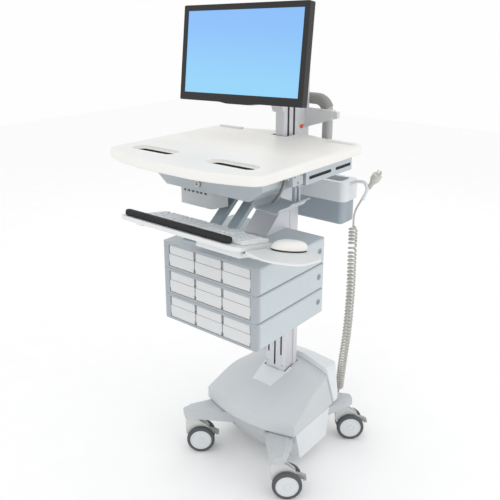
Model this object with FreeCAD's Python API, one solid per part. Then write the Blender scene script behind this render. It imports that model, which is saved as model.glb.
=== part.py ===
"""Medication cart: wheeled base and a lifting head with drawers, worksurface, keyboard tray and display.

Millimetres, +X to the user's right, +Y to the back, +Z up. Shapes are first built in the cart's own
layout (x = 0 on the centre plane, y = 0 just ahead of the column, z = 0 on the floor) and are then
moved so that the origin is at the centre of the footprint, on the floor.
"""
import FreeCAD, Part

import math
import os

V = FreeCAD.Vector
X_AXIS = V(1, 0, 0)
Y_AXIS = V(0, 1, 0)
Z_AXIS = V(0, 0, 1)
ORIGIN = V(0, 0, 0)

# ---------------------------------------------------------------- driving dimensions
CLEAR = 0.6                     # gap between neighbours that move past each other
PIN_CLEAR = 0.05                # radial running clearance of a pin in its hole
PANEL = 3.0                     # thickness of moulded covers

# base and casters
CASTER_X = 191.0                # caster stems, either side of the centre plane
CASTER_Y_FRONT = -172.0
CASTER_Y_REAR = 232.0
WHEEL_RADIUS = 50.0
WHEEL_WIDTH = 19.0
CASTER_WIDTH = 65.0             # over both tyres
CASTER_TRAIL = 29.0             # axle behind the swivel axis
CASTER_HEADING = 39.0           # degrees from +X, the direction in which every caster trails at rest
AXLE_RADIUS = 5.0
STEM_RADIUS = 6.0
PEDAL_X = CASTER_TRAIL + 6.0    # pedal's pin, along the trail from the stem
PEDAL_Z = 80.0
PEDAL_HALF = 6.0                # half the pedal arm's width
PEDAL_PIN_RADIUS = 3.0
FORK_TOP = 127.0                # crown of the caster's fork
LEG_TIP_TOP = 167.0             # leg over the caster stem
LEG_TIP_BOTTOM = 137.0
LEG_ROOT_TOP = 163.0
LEG_ROOT_BOTTOM = 106.0
DECK = 150.0                    # bridge that carries the column
TUB_BOTTOM = 52.0
TUB_HALF = 148.0
TUB_BACK = 146.2
TUB_WALL = 4.0
HOOD_HALF = 192.0
HOOD_BOTTOM = 168.0
HOOD_BACK = 165.0
REAR_COVER_BACK = 258.0
REAR_COVER_FLOOR = 174.0

# column and lift
COLUMN_HALF = 42.0
COLUMN_FRONT = 62.0
COLUMN_SPLIT = 112.0            # where the extrusion meets its rear cover
COLUMN_BACK = 142.0
COLUMN_WALL = 3.0
COLUMN_FOOT = DECK
COLUMN_TOP = 700.0
RISER_BOTTOM = 392.0
RISER_TOP = 1096.0
RISER_GAP = 1.5                 # riser inside the column
SLOT_X = (-27.0, 0.0, 27.0)
SLOT_FOOT = (352.0, 306.0, 352.0)
SLOT_WIDTH = 7.0
TONGUE = 4.0

# drawers
STACK_HALF = 196.0
STACK_FRONT = -289.0
STACK_BACK = 61.0
STACK_BOTTOM = 575.0
UNIT_PITCH = 88.2
UNIT_HEIGHT = 87.2
UNIT_CORNER = 18.0
ROWS = 3
COLUMNS = 3
DRAWER_PITCH = 111.0
DRAWER_WIDTH = 107.0
DRAWER_DEPTH = 318.0
DRAWER_WALL = 2.0
DRAWER_HEIGHT = 68.0
DRAWER_LIFT = 9.0               # front's lower edge above the unit's lower edge

# worksurface and head
TOP_Z = 1145.0
TOP_THICKNESS = 29.0
TOP_HALF = 290.0
TOP_FRONT_CORNER = -405.0
TOP_FRONT_CENTRE = -457.0       # before the bow's corners are rounded
TOP_BACK_CORNER = 108.0
TOP_BACK_CENTRE = 141.0
UNDERSIDE = TOP_Z - TOP_THICKNESS
HAND_SLOT_X = 148.0
HAND_SLOT_Y = -345.0
HAND_SLOT_LENGTH = 148.0
HAND_SLOT_WIDTH = 42.0
PAN_HALF = 206.0                # folded pan under the worksurface
PAN_FLOOR = 1030.0
RAIL_BOTTOM = 1056.0            # slotted rails down both sides of the pan
LOCK_RADIUS = 8.5
LOCK_FACE = V(-31, -290, 1052)
LEVER_PIVOT = V(218, -202, 1088)  # brake lever's pin on the pan's right wall

# keyboard tray
TRAY_TOP = 941.0
TRAY_HALF = 232.0
TRAY_FRONT = -432.0
TRAY_BACK = -262.0
TRAY_THICKNESS = 13.0
MOUSE_TRAY_TOP = 935.0          # before the lean
MOUSE_X = 281.0
MOUSE_Y = -263.0
MOUSE_HALF_WIDTH = 31.0
MOUSE_HALF_LENGTH = 57.0
MOUSE_HEIGHT = 34.0
MOUSE_DOME = 102.0              # radius of the mouse's crowned top
MOUSE_HEADING = 26.0            # degrees to the right of straight back
ARM_PIVOT = V(0, -96, 985)      # keyboard arm's hinge under the worksurface
TRAY_PIN = V(0, -310, 898)      # keyboard tray's hinge, with the tray level
TILT_PIN = V(0, -320, 884)      # the same hinge where it sits on the arm
TRAY_LEAN = -12.0               # degrees; the tray's rear edge hangs lower than its front

# mast and display
MAST_HALF = 18.0
MAST_FRONT = 69.0
MAST_BACK = 214.0
TRACKS = ((87, 98), (119, 130))  # slots down the mast's sides
MAST_TOP = 1500.0
SCREEN_WIDTH = 429.0
SCREEN_HEIGHT = 244.0
SCREEN_CENTRE = V(-2.0, -129.0, 1418.0)
SCREEN_TILT = 8.3
SCREEN_ROLL = -1.7
BEZEL_SIDE = 17.0
BEZEL_FOOT = 24.0
DISPLAY_DEPTH = 34.0
PAN_AXIS = V(-2.0, 34.0, 0)     # vertical hinge of the display arm
HEAD_REACH = 84.0               # from the screen's face back to the tilt hinge

# rear bin and power cord
BIN_HALF = 174.0
BIN_FRONT = 192.0
BIN_BACK = 278.0
BIN_BOTTOM = 840.0
BIN_TOP = 966.0
RIM_BOTTOM = 922.0
RIM_TOP = 989.0
CORD_DIAMETER = 7.0
COIL_DIAMETER = 34.0
GLAND_X = 102.0
GLAND_Y = 232.0
GLAND_EXIT = 157.0
GLAND_RADIUS = 7.0
# the cord's route: out of the gland, a hanging bend, then up the coil to the plug on the bin's hook
FOOT_ROUTE = [V(102, 232, 157), V(102, 232, 135), V(114, 249, 116), V(130, 271, 116), V(141, 287, 134)]
COIL_START = V(144.1, 285.3, 163.6)
COIL_ROUTE = [V(158, 278, 292), V(172, 271, 393), V(181, 264, 490), V(189, 254, 614), V(190.5, 247, 732)]
COIL_END = V(191.4, 244.0, 828)
TOP_ROUTE = [V(192.6, 242, 876), V(216, 240, 922)]
PLUG_TAIL = V(240, 240, 968)
PLUG_TIP = V(283, 240, 1037)

parts = {}


# ---------------------------------------------------------------- helpers
def box(x0, x1, y0, y1, z0, z1):
    """Solid between two corners."""
    return Part.makeBox(x1 - x0, y1 - y0, z1 - z0, V(x0, y0, z0))


def rod(start, end, radius):
    """Round bar from start to end."""
    along = end - start
    return Part.makeCylinder(radius, along.Length, start, along)


def ring(centre, axis, outer, inner, length):
    """Tube that starts at centre and runs along axis."""
    hole = Part.makeCylinder(inner, length, centre, axis)
    return Part.makeCylinder(outer, length, centre, axis).cut(hole)


def joined(shapes):
    """One shape from several that touch or overlap."""
    whole = shapes[0]
    if len(shapes) > 1:
        whole = shapes[0].multiFuse(list(shapes[1:]))
    return whole.removeSplitter()


def outline(points, place):
    """Closed wire through (a, b, corner radius) points; place turns (a, b) into a point in space."""
    flat = [V(a, b, 0) for a, b, _ in points]
    edges = []
    ends = []
    count = len(points)
    for index, (a, b, radius) in enumerate(points):
        corner = flat[index]
        before = (flat[index - 1] - corner).normalize()
        after = (flat[(index + 1) % count] - corner).normalize()
        if radius == 0:
            ends.append((corner, None, corner))
            continue
        half = before.getAngle(after) / 2
        reach = radius / math.tan(half)
        inward = (before + after).normalize()
        middle = corner + inward * (radius / math.sin(half) - radius)
        ends.append((corner + before * reach, middle, corner + after * reach))
    for index, (start, middle, end) in enumerate(ends):
        if middle is not None:
            edges.append(Part.Arc(place(start), place(middle), place(end)).toShape())
        following = ends[(index + 1) % count][0]
        if (following - end).Length > 1e-6:
            edges.append(Part.makeLine(place(end), place(following)))
    return Part.Wire(edges)


def plate_z(points, z0, z1):
    """Flat plate: an XY outline extruded from z0 to z1."""
    wire = outline(points, lambda p: V(p.x, p.y, z0))
    return Part.Face(wire).extrude(V(0, 0, z1 - z0))


def plate_x(points, x0, x1):
    """Side profile: a YZ outline extruded from x0 to x1."""
    wire = outline(points, lambda p: V(x0, p.x, p.y))
    return Part.Face(wire).extrude(V(x1 - x0, 0, 0))


def plate_y(points, y0, y1):
    """Front profile: an XZ outline extruded from y0 to y1."""
    wire = outline(points, lambda p: V(p.x, y0, p.y))
    return Part.Face(wire).extrude(V(0, y1 - y0, 0))


def rectangle(a0, a1, b0, b1, radius):
    """Corner list for a rectangle with one corner radius."""
    return [(a0, b0, radius), (a1, b0, radius), (a1, b1, radius), (a0, b1, radius)]


def mirrored(shape):
    """The same shape on the other side of the centre plane."""
    return shape.mirror(ORIGIN, X_AXIS)


def both_sides(shape):
    """The shape and its mirror image, joined."""
    return joined([shape, mirrored(shape)])


def rounded(shape, radius, wanted):
    """Fillet the edges that wanted() picks."""
    edges = [edge for edge in shape.Edges if wanted(edge)]
    return shape.makeFillet(radius, edges)


# ---------------------------------------------------------------- base
def leg(corner_x, corner_y):
    """Tapered cast leg from the tub's corner to a caster boss."""
    forward = 1 if corner_y > 0 else -1
    root = V(100.0, -38.0 if forward < 0 else 118.0, 0)
    tip = V(corner_x, corner_y, 0)
    along = (tip - root).normalize()
    across = V(-along.y, along.x, 0)

    def section(distance, half_width, bottom, top):
        middle = root + along * distance
        crown = 7.0
        corners = [(-half_width, bottom), (half_width, bottom), (half_width, top - crown),
                   (half_width * 0.62, top), (-half_width * 0.62, top), (-half_width, top - crown)]
        ring_points = [middle + across * a + V(0, 0, b) for a, b in corners]
        return Part.makePolygon(ring_points + [ring_points[0]])

    reach = (tip - root).Length
    body = Part.makeLoft([section(0, 56, LEG_ROOT_BOTTOM, LEG_ROOT_TOP),
                          section(reach, 32, LEG_TIP_BOTTOM, LEG_TIP_TOP)], True, True)
    nose = Part.makeLoft([section(reach, 32, LEG_TIP_BOTTOM, LEG_TIP_TOP),
                          section(reach + 31, 17, LEG_TIP_BOTTOM, LEG_TIP_TOP - 3)], True, True)
    return joined([body, nose])


def stem_points():
    """Where the four caster stems stand on the floor plan."""
    names = {}
    for row, y in (("front", CASTER_Y_FRONT), ("rear", CASTER_Y_REAR)):
        for side, x in (("left", -CASTER_X), ("right", CASTER_X)):
            names[f"{row}_{side}"] = V(x, y, 0)
    return names


def bow(z, grow):
    """Plan outline of the tub at height z: straight sides and a bow-shaped front."""
    rise = (z - TUB_BOTTOM) / (DECK - TUB_BOTTOM)
    half = TUB_HALF - grow
    nose = -52.0 - 52.0 * rise + grow
    shoulder = 44.0 + 34.0 * rise - grow * 0.5
    corner_y = -22.0 - 26.0 * rise + grow * 0.7
    back = TUB_BACK - grow
    corners = [(-half, back), (-half, corner_y), (-shoulder, nose), (shoulder, nose),
               (half, corner_y), (half, back)]
    loop = [V(x, y, z) for x, y in corners]
    return Part.makePolygon(loop + [loop[0]])


def base_casting():
    """Open tub for the battery with the bridge that carries the column, and four legs on its corners."""
    outside = Part.makeLoft([bow(TUB_BOTTOM, 0), bow(DECK + 14, 0)], True, True)
    inside = Part.makeLoft([bow(TUB_BOTTOM + TUB_WALL, TUB_WALL), bow(DECK + 15, TUB_WALL)], True, True)
    bridge = box(-TUB_HALF + 1, TUB_HALF - 1, COLUMN_FRONT - 22, TUB_BACK - 1, DECK - 8, DECK)
    solids = [joined([outside.cut(inside), bridge])]
    for point in stem_points().values():
        arm = leg(abs(point.x), point.y)
        if point.x < 0:
            arm = mirrored(arm)
        bore = Part.makeCylinder(STEM_RADIUS + PIN_CLEAR, 25, point + V(0, 0, LEG_TIP_BOTTOM - 1))
        seat = Part.makeCylinder(13, 15, point + V(0, 0, LEG_TIP_BOTTOM - 15))
        solids.append(arm.cut(outside).cut(bore).cut(seat))
    return Part.makeCompound(solids)


def hood_block(inset):
    """Solid wedge of the hood, pulled in by inset on every side but the bottom."""
    half = HOOD_HALF - inset
    front = -86.0 + inset
    nose = -124.0 + inset
    back = HOOD_BACK - inset
    base = HOOD_BOTTOM if inset == 0 else HOOD_BOTTOM - 5
    arc = Part.Arc(V(-half, front, base), V(0, nose, base), V(half, front, base)).toShape()
    side = [V(half, front, base), V(half, back, base), V(-half, back, base), V(-half, front, base)]
    plan = Part.Wire([arc] + [Part.makeLine(side[i], side[i + 1]) for i in range(3)])
    prism = Part.Face(plan).extrude(V(0, 0, 220))

    def section(y, shoulder_x, shoulder_z, crown_z):
        low = HOOD_BOTTOM - 10
        shoulder = V(shoulder_x - inset, y, shoulder_z - inset)
        wide = V(HOOD_HALF - inset, y, low)
        left = V(-shoulder.x, y, shoulder.z)
        crown = Part.Arc(shoulder, V(0, y, crown_z - inset), left).toShape()
        wide_left = V(-wide.x, y, low)
        lines = [Part.makeLine(wide, shoulder), crown, Part.makeLine(left, wide_left),
                 Part.makeLine(wide_left, wide)]
        return Part.Wire(lines)

    # each row: y, half width and height of the shoulder, height of the crown
    rows = [(-150, 191.9, 176, 190), (-118, 191.8, 198, 224), (-86, 191.5, 209, 244), (-14, 186, 236, 271),
            (62, 175, 259, 293), (HOOD_BACK + 5, 157, 277, 305)]
    top = Part.makeLoft([section(*row) for row in rows], True, False)
    return prism.common(top)


def column_hole(grow):
    """Space that the column takes out of covers it passes through."""
    return box(-COLUMN_HALF - 4 - grow, COLUMN_HALF + 4 + grow, COLUMN_FRONT - grow, COLUMN_BACK + grow,
               HOOD_BOTTOM - 20, 420)


def base_hood():
    """Sloping front cover of the base."""
    shell = hood_block(0).cut(hood_block(PANEL))
    return shell.cut(column_hole(1.0))


def rear_block(inset):
    """Solid shape of the rear power housing, pulled in by inset."""
    low = REAR_COVER_FLOOR + inset
    half = 191.0 - inset
    back = REAR_COVER_BACK - inset
    start = HOOD_BACK + 0.8 + inset
    plan = [(-half, start, 0), (half, start, 0), (half, 196, 14), (118, back, 18),
            (-118, back, 18), (-half, 196, 14)]
    prism = plate_z(plan, low, 420)
    front_view = [(-half, low, 0), (half, low, 0), (half, 186 - inset, 0), (157 - inset, 297 - inset, 24),
                  (58, 326 - inset, 12), (-58, 326 - inset, 12), (-157 + inset, 297 - inset, 24),
                  (-half, 186 - inset, 0)]
    front = plate_y(front_view, start - 5, back + 5)
    side_view = [(start - 5, low), (back + 5, low), (back + 5, 262 - inset), (205, 322 - inset),
                 (start - 5, 330 - inset)]
    side = plate_x([(y, z, 0) for y, z in side_view], -half - 5, half + 5)
    return prism.common(front).common(side)


def rear_cover():
    """Pale housing behind the hood, for the power module and the cord inlet."""
    shell = rear_block(0).cut(rear_block(PANEL))
    legs = joined([leg(CASTER_X, CASTER_Y_REAR), mirrored(leg(CASTER_X, CASTER_Y_REAR))])
    gland_hole = Part.makeCylinder(GLAND_RADIUS, 20, V(GLAND_X, GLAND_Y, REAR_COVER_FLOOR - 5))
    return shell.cut(legs).cut(column_hole(1.0)).cut(gland_hole)


def battery_skirts():
    """Pale boxes on both sides of the tub, below the hood."""
    side = [(-38, 52, 6), (128, 52, 6), (144, 164, 0), (-66, 164, 0)]
    outer = plate_x(side, TUB_HALF + 0.4, 187)
    inner = plate_x([(-33, 55, 3), (125, 55, 3), (139, 166, 0), (-59, 166, 0)], TUB_HALF, 184)
    skirt = outer.cut(inner)
    for y in (CASTER_Y_FRONT, CASTER_Y_REAR):
        skirt = skirt.cut(leg(CASTER_X, y))
    pieces = sorted(skirt.Solids, key=lambda solid: solid.Volume)
    skirt = pieces[-1]
    return Part.makeCompound([skirt, mirrored(skirt)])


def battery_pack():
    """Battery inside the tub, under the bridge."""
    case = plate_z(rectangle(-118, 118, -30, 132, 10), TUB_BOTTOM + TUB_WALL, DECK - 12)
    handle = plate_y([(-34, 0, 0), (34, 0, 0), (34, 4, 2), (-34, 4, 2)], 60, 76)
    handle.translate(V(0, 0, DECK - 12))
    return joined([case, handle])


def lift_spring():
    """Post inside the riser with the two spring rolls that balance the head."""
    middle_y = (COLUMN_FRONT + COLUMN_BACK) / 2
    foot = box(-20, 20, middle_y - 14, middle_y + 14, COLUMN_FOOT, COLUMN_FOOT + 6)
    post = box(-4, 4, middle_y - 12, middle_y + 12, COLUMN_FOOT, 628)
    rolls = rod(V(-20, middle_y, 612), V(20, middle_y, 612), 19)
    return joined([foot, post, rolls])


# ---------------------------------------------------------------- casters
def caster_frame(local, stem):
    """Place a caster built with its trail along +X and its stem at the origin."""
    placed = local.copy()
    placed.rotate(ORIGIN, Z_AXIS, CASTER_HEADING)
    placed.translate(stem)
    return placed


def caster_fork():
    """Stem, hood between the wheels and axle boss, in one moulding."""
    inner = CASTER_WIDTH / 2 - WHEEL_WIDTH - 1.2
    profile = [(-25, FORK_TOP, 12), (14, FORK_TOP, 16),
               (CASTER_TRAIL + 32, 90, 30), (CASTER_TRAIL + 30, 62, 6),
               (CASTER_TRAIL + 12, 36, 6), (CASTER_TRAIL - 12, 32, 8), (-25, 66, 16)]
    wire = outline(profile, lambda p: V(p.x, -inner, p.y))
    body = Part.Face(wire).extrude(V(0, 2 * inner, 0))
    collar = Part.makeCylinder(11, LEG_TIP_BOTTOM - CLEAR - FORK_TOP, V(0, 0, FORK_TOP))
    stem = Part.makeCylinder(STEM_RADIUS, 24, V(0, 0, LEG_TIP_BOTTOM - 2))
    axle_hole = rod(V(CASTER_TRAIL, -40, WHEEL_RADIUS), V(CASTER_TRAIL, 40, WHEEL_RADIUS),
                    AXLE_RADIUS + PIN_CLEAR)
    slot = box(CASTER_TRAIL - 8, 90, -PEDAL_HALF - CLEAR, PEDAL_HALF + CLEAR, 52, 130)
    pin_end = PEDAL_HALF + CLEAR + 2
    pin = rod(V(PEDAL_X, -pin_end, PEDAL_Z), V(PEDAL_X, pin_end, PEDAL_Z), PEDAL_PIN_RADIUS)
    return joined([joined([body, collar, stem]).cut(axle_hole).cut(slot), pin])


def caster_wheels():
    """Two wheels on their axle: tyre, disc hub and axle as separate solids."""
    solids = []
    for side in (-1, 1):
        outer_y = side * CASTER_WIDTH / 2
        inner_y = side * (CASTER_WIDTH / 2 - WHEEL_WIDTH)
        low = min(outer_y, inner_y)
        centre = V(CASTER_TRAIL, low, WHEEL_RADIUS)
        tyre = ring(centre, Y_AXIS, WHEEL_RADIUS, 39.0, WHEEL_WIDTH)
        tyre = tyre.makeFillet(5.0, [e for e in tyre.Edges if is_circle(e, WHEEL_RADIUS)])
        hub = Part.makeCylinder(39.0, WHEEL_WIDTH - 2, centre + V(0, 1, 0), Y_AXIS)
        hub = hub.cut(Part.makeCylinder(AXLE_RADIUS, WHEEL_WIDTH, centre, Y_AXIS))
        solids += [tyre, hub]
    reach = CASTER_WIDTH / 2 - 2
    axle_ends = [V(CASTER_TRAIL, side * reach, WHEEL_RADIUS) for side in (-1, 1)]
    solids.append(rod(*axle_ends, AXLE_RADIUS))
    return Part.makeCompound(solids)


def is_circle(edge, radius):
    """True for a whole round edge of that radius."""
    return isinstance(edge.Curve, Part.Circle) and abs(edge.Curve.Radius - radius) < 1e-6


def brake_pedal():
    """Foot pedal between the wheels, hinged on a pin in the fork."""
    profile = [(PEDAL_X - 7, PEDAL_Z - 6, 3), (PEDAL_X - 7, PEDAL_Z + 6, 5), (PEDAL_X + 14, PEDAL_Z + 5, 8),
               (CASTER_TRAIL + 54, 76, 5), (CASTER_TRAIL + 66, 64, 5), (CASTER_TRAIL + 61, 50, 5),
               (CASTER_TRAIL + 53, 60, 4), (PEDAL_X + 12, PEDAL_Z - 9, 4)]
    wire = outline(profile, lambda p: V(p.x, -PEDAL_HALF, p.y))
    arm = Part.Face(wire).extrude(V(0, 2 * PEDAL_HALF, 0))
    toe = box(CASTER_TRAIL + 53, CASTER_TRAIL + 64, -13, 13, 61, 67)
    hole = rod(V(PEDAL_X, -20, PEDAL_Z), V(PEDAL_X, 20, PEDAL_Z), PEDAL_PIN_RADIUS + PIN_CLEAR)
    return joined([arm, toe]).cut(hole)


# ---------------------------------------------------------------- column and lift
def column_slots(depth_from, depth_to, width):
    """The three front slots, open at the column's top."""
    return [box(x - width / 2, x + width / 2, depth_from, depth_to, foot, COLUMN_TOP + 5)
            for x, foot in zip(SLOT_X, SLOT_FOOT)]


def column_extrusion():
    """Fixed front half of the column: a channel with three slots."""
    plan = [(-COLUMN_HALF, COLUMN_FRONT, 9), (COLUMN_HALF, COLUMN_FRONT, 9),
            (COLUMN_HALF, COLUMN_SPLIT, 0), (-COLUMN_HALF, COLUMN_SPLIT, 0)]
    body = plate_z(plan, COLUMN_FOOT, COLUMN_TOP)
    inner = COLUMN_HALF - COLUMN_WALL
    cavity = plate_z([(-inner, COLUMN_FRONT + COLUMN_WALL, 6), (inner, COLUMN_FRONT + COLUMN_WALL, 6),
                      (inner, COLUMN_SPLIT + 5, 0), (-inner, COLUMN_SPLIT + 5, 0)],
                      COLUMN_FOOT - 1, COLUMN_TOP + 1)
    body = body.cut(cavity)
    for slot in column_slots(COLUMN_FRONT - 5, COLUMN_FRONT + 8, SLOT_WIDTH):
        body = body.cut(slot)
    return body


def column_cover():
    """Fixed rear half of the column, a pale channel that is a little wider."""
    half = COLUMN_HALF + 4
    plan = [(-half, COLUMN_SPLIT, 0), (half, COLUMN_SPLIT, 0),
            (half, COLUMN_BACK, 12), (-half, COLUMN_BACK, 12)]
    body = plate_z(plan, COLUMN_FOOT, COLUMN_TOP - 6)
    inner = COLUMN_HALF - COLUMN_WALL
    back = COLUMN_BACK - COLUMN_WALL
    cavity = plate_z([(-inner, COLUMN_SPLIT - 5, 0), (inner, COLUMN_SPLIT - 5, 0), (inner, back, 8),
                      (-inner, back, 8)], COLUMN_FOOT - 1, COLUMN_TOP + 1)
    return body.cut(cavity)


def riser_plan(inset):
    """Outline of the riser, with its side grooves left out."""
    half = COLUMN_HALF - COLUMN_WALL - RISER_GAP - inset
    front = COLUMN_FRONT + COLUMN_WALL + RISER_GAP + inset
    back = COLUMN_BACK - COLUMN_WALL - RISER_GAP - inset
    return [(-half, front, 5), (half, front, 5), (half, back, 7), (-half, back, 7)]


def riser():
    """Sliding inner column with its head plate and the tongues that carry the drawers."""
    tube = plate_z(riser_plan(0), RISER_BOTTOM, RISER_TOP)
    tube = tube.cut(plate_z(riser_plan(3.0), RISER_BOTTOM - 1, RISER_TOP - 6))
    groove_x = COLUMN_HALF - COLUMN_WALL - RISER_GAP
    groove = box(groove_x - 1.5, groove_x + 1, 82, 86, RISER_BOTTOM - 1, RISER_TOP - 30)
    tube = tube.cut(groove).cut(mirrored(groove))
    front = COLUMN_FRONT + COLUMN_WALL + RISER_GAP
    pieces = [tube]
    top_of_stack = STACK_BOTTOM + ROWS * UNIT_PITCH
    for x in SLOT_X:
        tongue = box(x - TONGUE / 2, x + TONGUE / 2, STACK_BACK, front + 1.5,
                     STACK_BOTTOM + 50, top_of_stack + 70)
        pieces.append(tongue)
    gusset = plate_x([(-58, top_of_stack, 0), (STACK_BACK, top_of_stack, 0),
                      (STACK_BACK, 925, 0), (38, 925, 6)],
                     -46, 46)
    hollow = plate_x([(-48, top_of_stack - 1, 0), (STACK_BACK - 3, top_of_stack - 1, 0),
                      (STACK_BACK - 3, 920, 0), (38, 919, 4)], -43, 43)
    return Part.makeCompound([joined(pieces), gusset.cut(hollow)])


# ---------------------------------------------------------------- drawers
def unit_floor(row):
    """Lower edge of a drawer unit; row 0 is the lowest."""
    return STACK_BOTTOM + row * UNIT_PITCH


def drawer_unit(row):
    """Rounded shell with three bays, open at the front."""
    low = unit_floor(row)
    high = low + UNIT_HEIGHT
    plan = [(-STACK_HALF, STACK_FRONT, UNIT_CORNER), (STACK_HALF, STACK_FRONT, UNIT_CORNER),
            (STACK_HALF, STACK_BACK, 12), (-STACK_HALF, STACK_BACK, 12)]
    body = plate_z(plan, low, high)
    face = [(-STACK_HALF, low, 13), (STACK_HALF, low, 13), (STACK_HALF, high, 7), (-STACK_HALF, high, 7)]
    body = body.common(plate_y(face, STACK_FRONT - 5, STACK_BACK + 5))
    half = COLUMNS * DRAWER_PITCH / 2 - 0.5
    floor = low + DRAWER_LIFT - 2
    roof = floor + DRAWER_HEIGHT + 4
    body = body.cut(box(-half, half, STACK_FRONT - 5, STACK_BACK - 5, floor, roof))
    for divider in (-0.5, 0.5):
        x = divider * DRAWER_PITCH
        body = joined([body, box(x - 0.8, x + 0.8, STACK_FRONT + 5, STACK_BACK - 5, floor, roof)])
    return body


def drawer(row, column):
    """Open tray of four sheets behind a front panel."""
    low = unit_floor(row) + DRAWER_LIFT
    middle = (column - (COLUMNS - 1) / 2) * DRAWER_PITCH
    half = DRAWER_WIDTH / 2
    front = STACK_FRONT + 1.5
    back = front + DRAWER_DEPTH
    inside = front + 8.0
    face = plate_y(rectangle(middle - half, middle + half, low, low + DRAWER_HEIGHT, 1.5), front, inside)
    side = half - 1.0
    floor_top = low + 1.0 + DRAWER_WALL
    top = low + DRAWER_HEIGHT - 8
    inner = side - DRAWER_WALL
    floor = box(middle - side, middle + side, inside, back, low + 1.0, floor_top)
    left = box(middle - side, middle - inner, inside, back, floor_top, top)
    right = box(middle + inner, middle + side, inside, back, floor_top, top)
    rear = box(middle - inner, middle + inner, back - DRAWER_WALL, back, floor_top, top)
    return Part.makeCompound([face, floor, left, right, rear])


# ---------------------------------------------------------------- worksurface and what hangs below it
def worksurface_wire(z):
    """Plan outline of the worksurface with rounded corners and a bowed front."""
    points = [(-TOP_HALF, TOP_FRONT_CORNER, 46), (-150, TOP_FRONT_CENTRE, 500), (150, TOP_FRONT_CENTRE, 500),
              (TOP_HALF, TOP_FRONT_CORNER, 46), (TOP_HALF, TOP_BACK_CORNER, 20),
              (176, TOP_BACK_CORNER + 4, 60), (80, TOP_BACK_CENTRE, 60), (-80, TOP_BACK_CENTRE, 60),
              (-176, TOP_BACK_CORNER + 4, 60), (-TOP_HALF, TOP_BACK_CORNER, 20)]
    return outline(points, lambda p: V(p.x, p.y, z))


def worksurface():
    """Moulded top with two hand slots, a mast notch and raised lips at the back."""
    slab = Part.Face(worksurface_wire(UNDERSIDE)).extrude(V(0, 0, TOP_THICKNESS))
    slab = rounded(slab, 8.0, lambda e: on_level(e, TOP_Z))
    slab = rounded(slab, 7.0, lambda e: on_level(e, UNDERSIDE))
    long = HAND_SLOT_LENGTH / 2
    deep = HAND_SLOT_WIDTH / 2
    front = HAND_SLOT_Y - deep
    back = HAND_SLOT_Y + deep
    for x in (-HAND_SLOT_X, HAND_SLOT_X):
        hole = plate_z(rectangle(x - long, x + long, front, back, deep - 0.5), UNDERSIDE - 1, TOP_Z + 1)
        scoop = plate_z(rectangle(x - long - 9, x + long + 7, front - 2, back + 9, deep + 1),
                        TOP_Z - 7, TOP_Z + 1)
        slab = slab.cut(hole).cut(scoop)
    notch = box(-MAST_HALF - 13, MAST_HALF + 13, MAST_FRONT - 6, TOP_BACK_CENTRE + 20,
                UNDERSIDE - 1, TOP_Z + 1)
    slab = slab.cut(notch)
    lip = plate_z([(172, 80, 4), (272, 80, 8), (272, 97, 8), (172, 97, 4)], TOP_Z - 2, TOP_Z + 5)
    return joined([slab, lip, mirrored(lip)])


def on_level(edge, z):
    """True for an edge that lies flat at height z."""
    box_of = edge.BoundBox
    return abs(box_of.ZMin - z) < 1e-4 and abs(box_of.ZMax - z) < 1e-4


def underframe():
    """Folded sheet pan under the worksurface with slotted rails down both sides."""
    sheet = 2.0
    front_view = [(-PAN_HALF, UNDERSIDE, 0), (-PAN_HALF, 1064, 4), (-160, PAN_FLOOR, 6), (160, PAN_FLOOR, 6),
                  (PAN_HALF, 1064, 4), (PAN_HALF, UNDERSIDE, 0)]
    pan = plate_y(front_view, -290, 60)
    inside = PAN_HALF - sheet
    inner_view = [(-inside, UNDERSIDE + 1, 0), (-inside, 1065, 4), (-159.3, PAN_FLOOR + sheet, 6),
                  (159.3, PAN_FLOOR + sheet, 6), (inside, 1065, 4), (inside, UNDERSIDE + 1, 0)]
    pan = pan.cut(plate_y(inner_view, -288, 61))
    rail = box(PAN_HALF, 236, -125, 132, RAIL_BOTTOM, UNDERSIDE)
    rail = rail.cut(box(PAN_HALF + sheet, 234, -126, 133, RAIL_BOTTOM + sheet, UNDERSIDE + 1))
    for low, high in ((-108, 12), (36, 126)):
        rail = rail.cut(plate_x(rectangle(low, high, 1070, 1080, 4.5), 230, 240))
    clamp = box(PAN_HALF, 236, -190, -140, 1064, 1100)
    lug = box(PAN_HALF, 236, -184, -150, 1100, UNDERSIDE)
    lever_pin = rod(V(PAN_HALF, LEVER_PIVOT.y, LEVER_PIVOT.z), V(230, LEVER_PIVOT.y, LEVER_PIVOT.z), 3)
    back_plate = box(-150, 150, 60, 63, 1040, UNDERSIDE)
    back_plate = back_plate.cut(box(-COLUMN_HALF - 4, COLUMN_HALF + 4, 50, 70, 1020, UNDERSIDE + 1))
    cheeks = box(COLUMN_HALF + 1, COLUMN_HALF + 4, -60, 134, 1040, UNDERSIDE)
    head_plate = box(-COLUMN_HALF - 1, COLUMN_HALF + 1, COLUMN_FRONT, 134, RISER_TOP, RISER_TOP + 4)
    notch = box(-COLUMN_HALF + 3, COLUMN_HALF - 3, 20, 70, 1020, 1095)
    pan = pan.cut(notch)
    lock_hole = Part.makeCylinder(LOCK_RADIUS + PIN_CLEAR, 12, LOCK_FACE + V(0, -6, 0), Y_AXIS)
    solids = [pan.cut(lock_hole), rail, mirrored(rail), joined([clamp, lug]), lever_pin]
    solids += back_plate.Solids + [cheeks, mirrored(cheeks), head_plate]
    return Part.makeCompound(solids)


def key_lock():
    """Turning barrel of the lock in the pan's front, with its cam behind."""
    barrel = rod(LOCK_FACE + V(0, -3, 0), LOCK_FACE + V(0, 16, 0), LOCK_RADIUS)
    rim = ring(LOCK_FACE + V(0, -5, 0), Y_AXIS, 11.5, 5.0, 4.6)
    keyway = box(-32, -30, -296, -286, 1047, 1057)
    cam = box(-37, -25, -274, -271.5, 1052, 1079)
    return joined([barrel, rim, cam]).cut(keyway)


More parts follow.
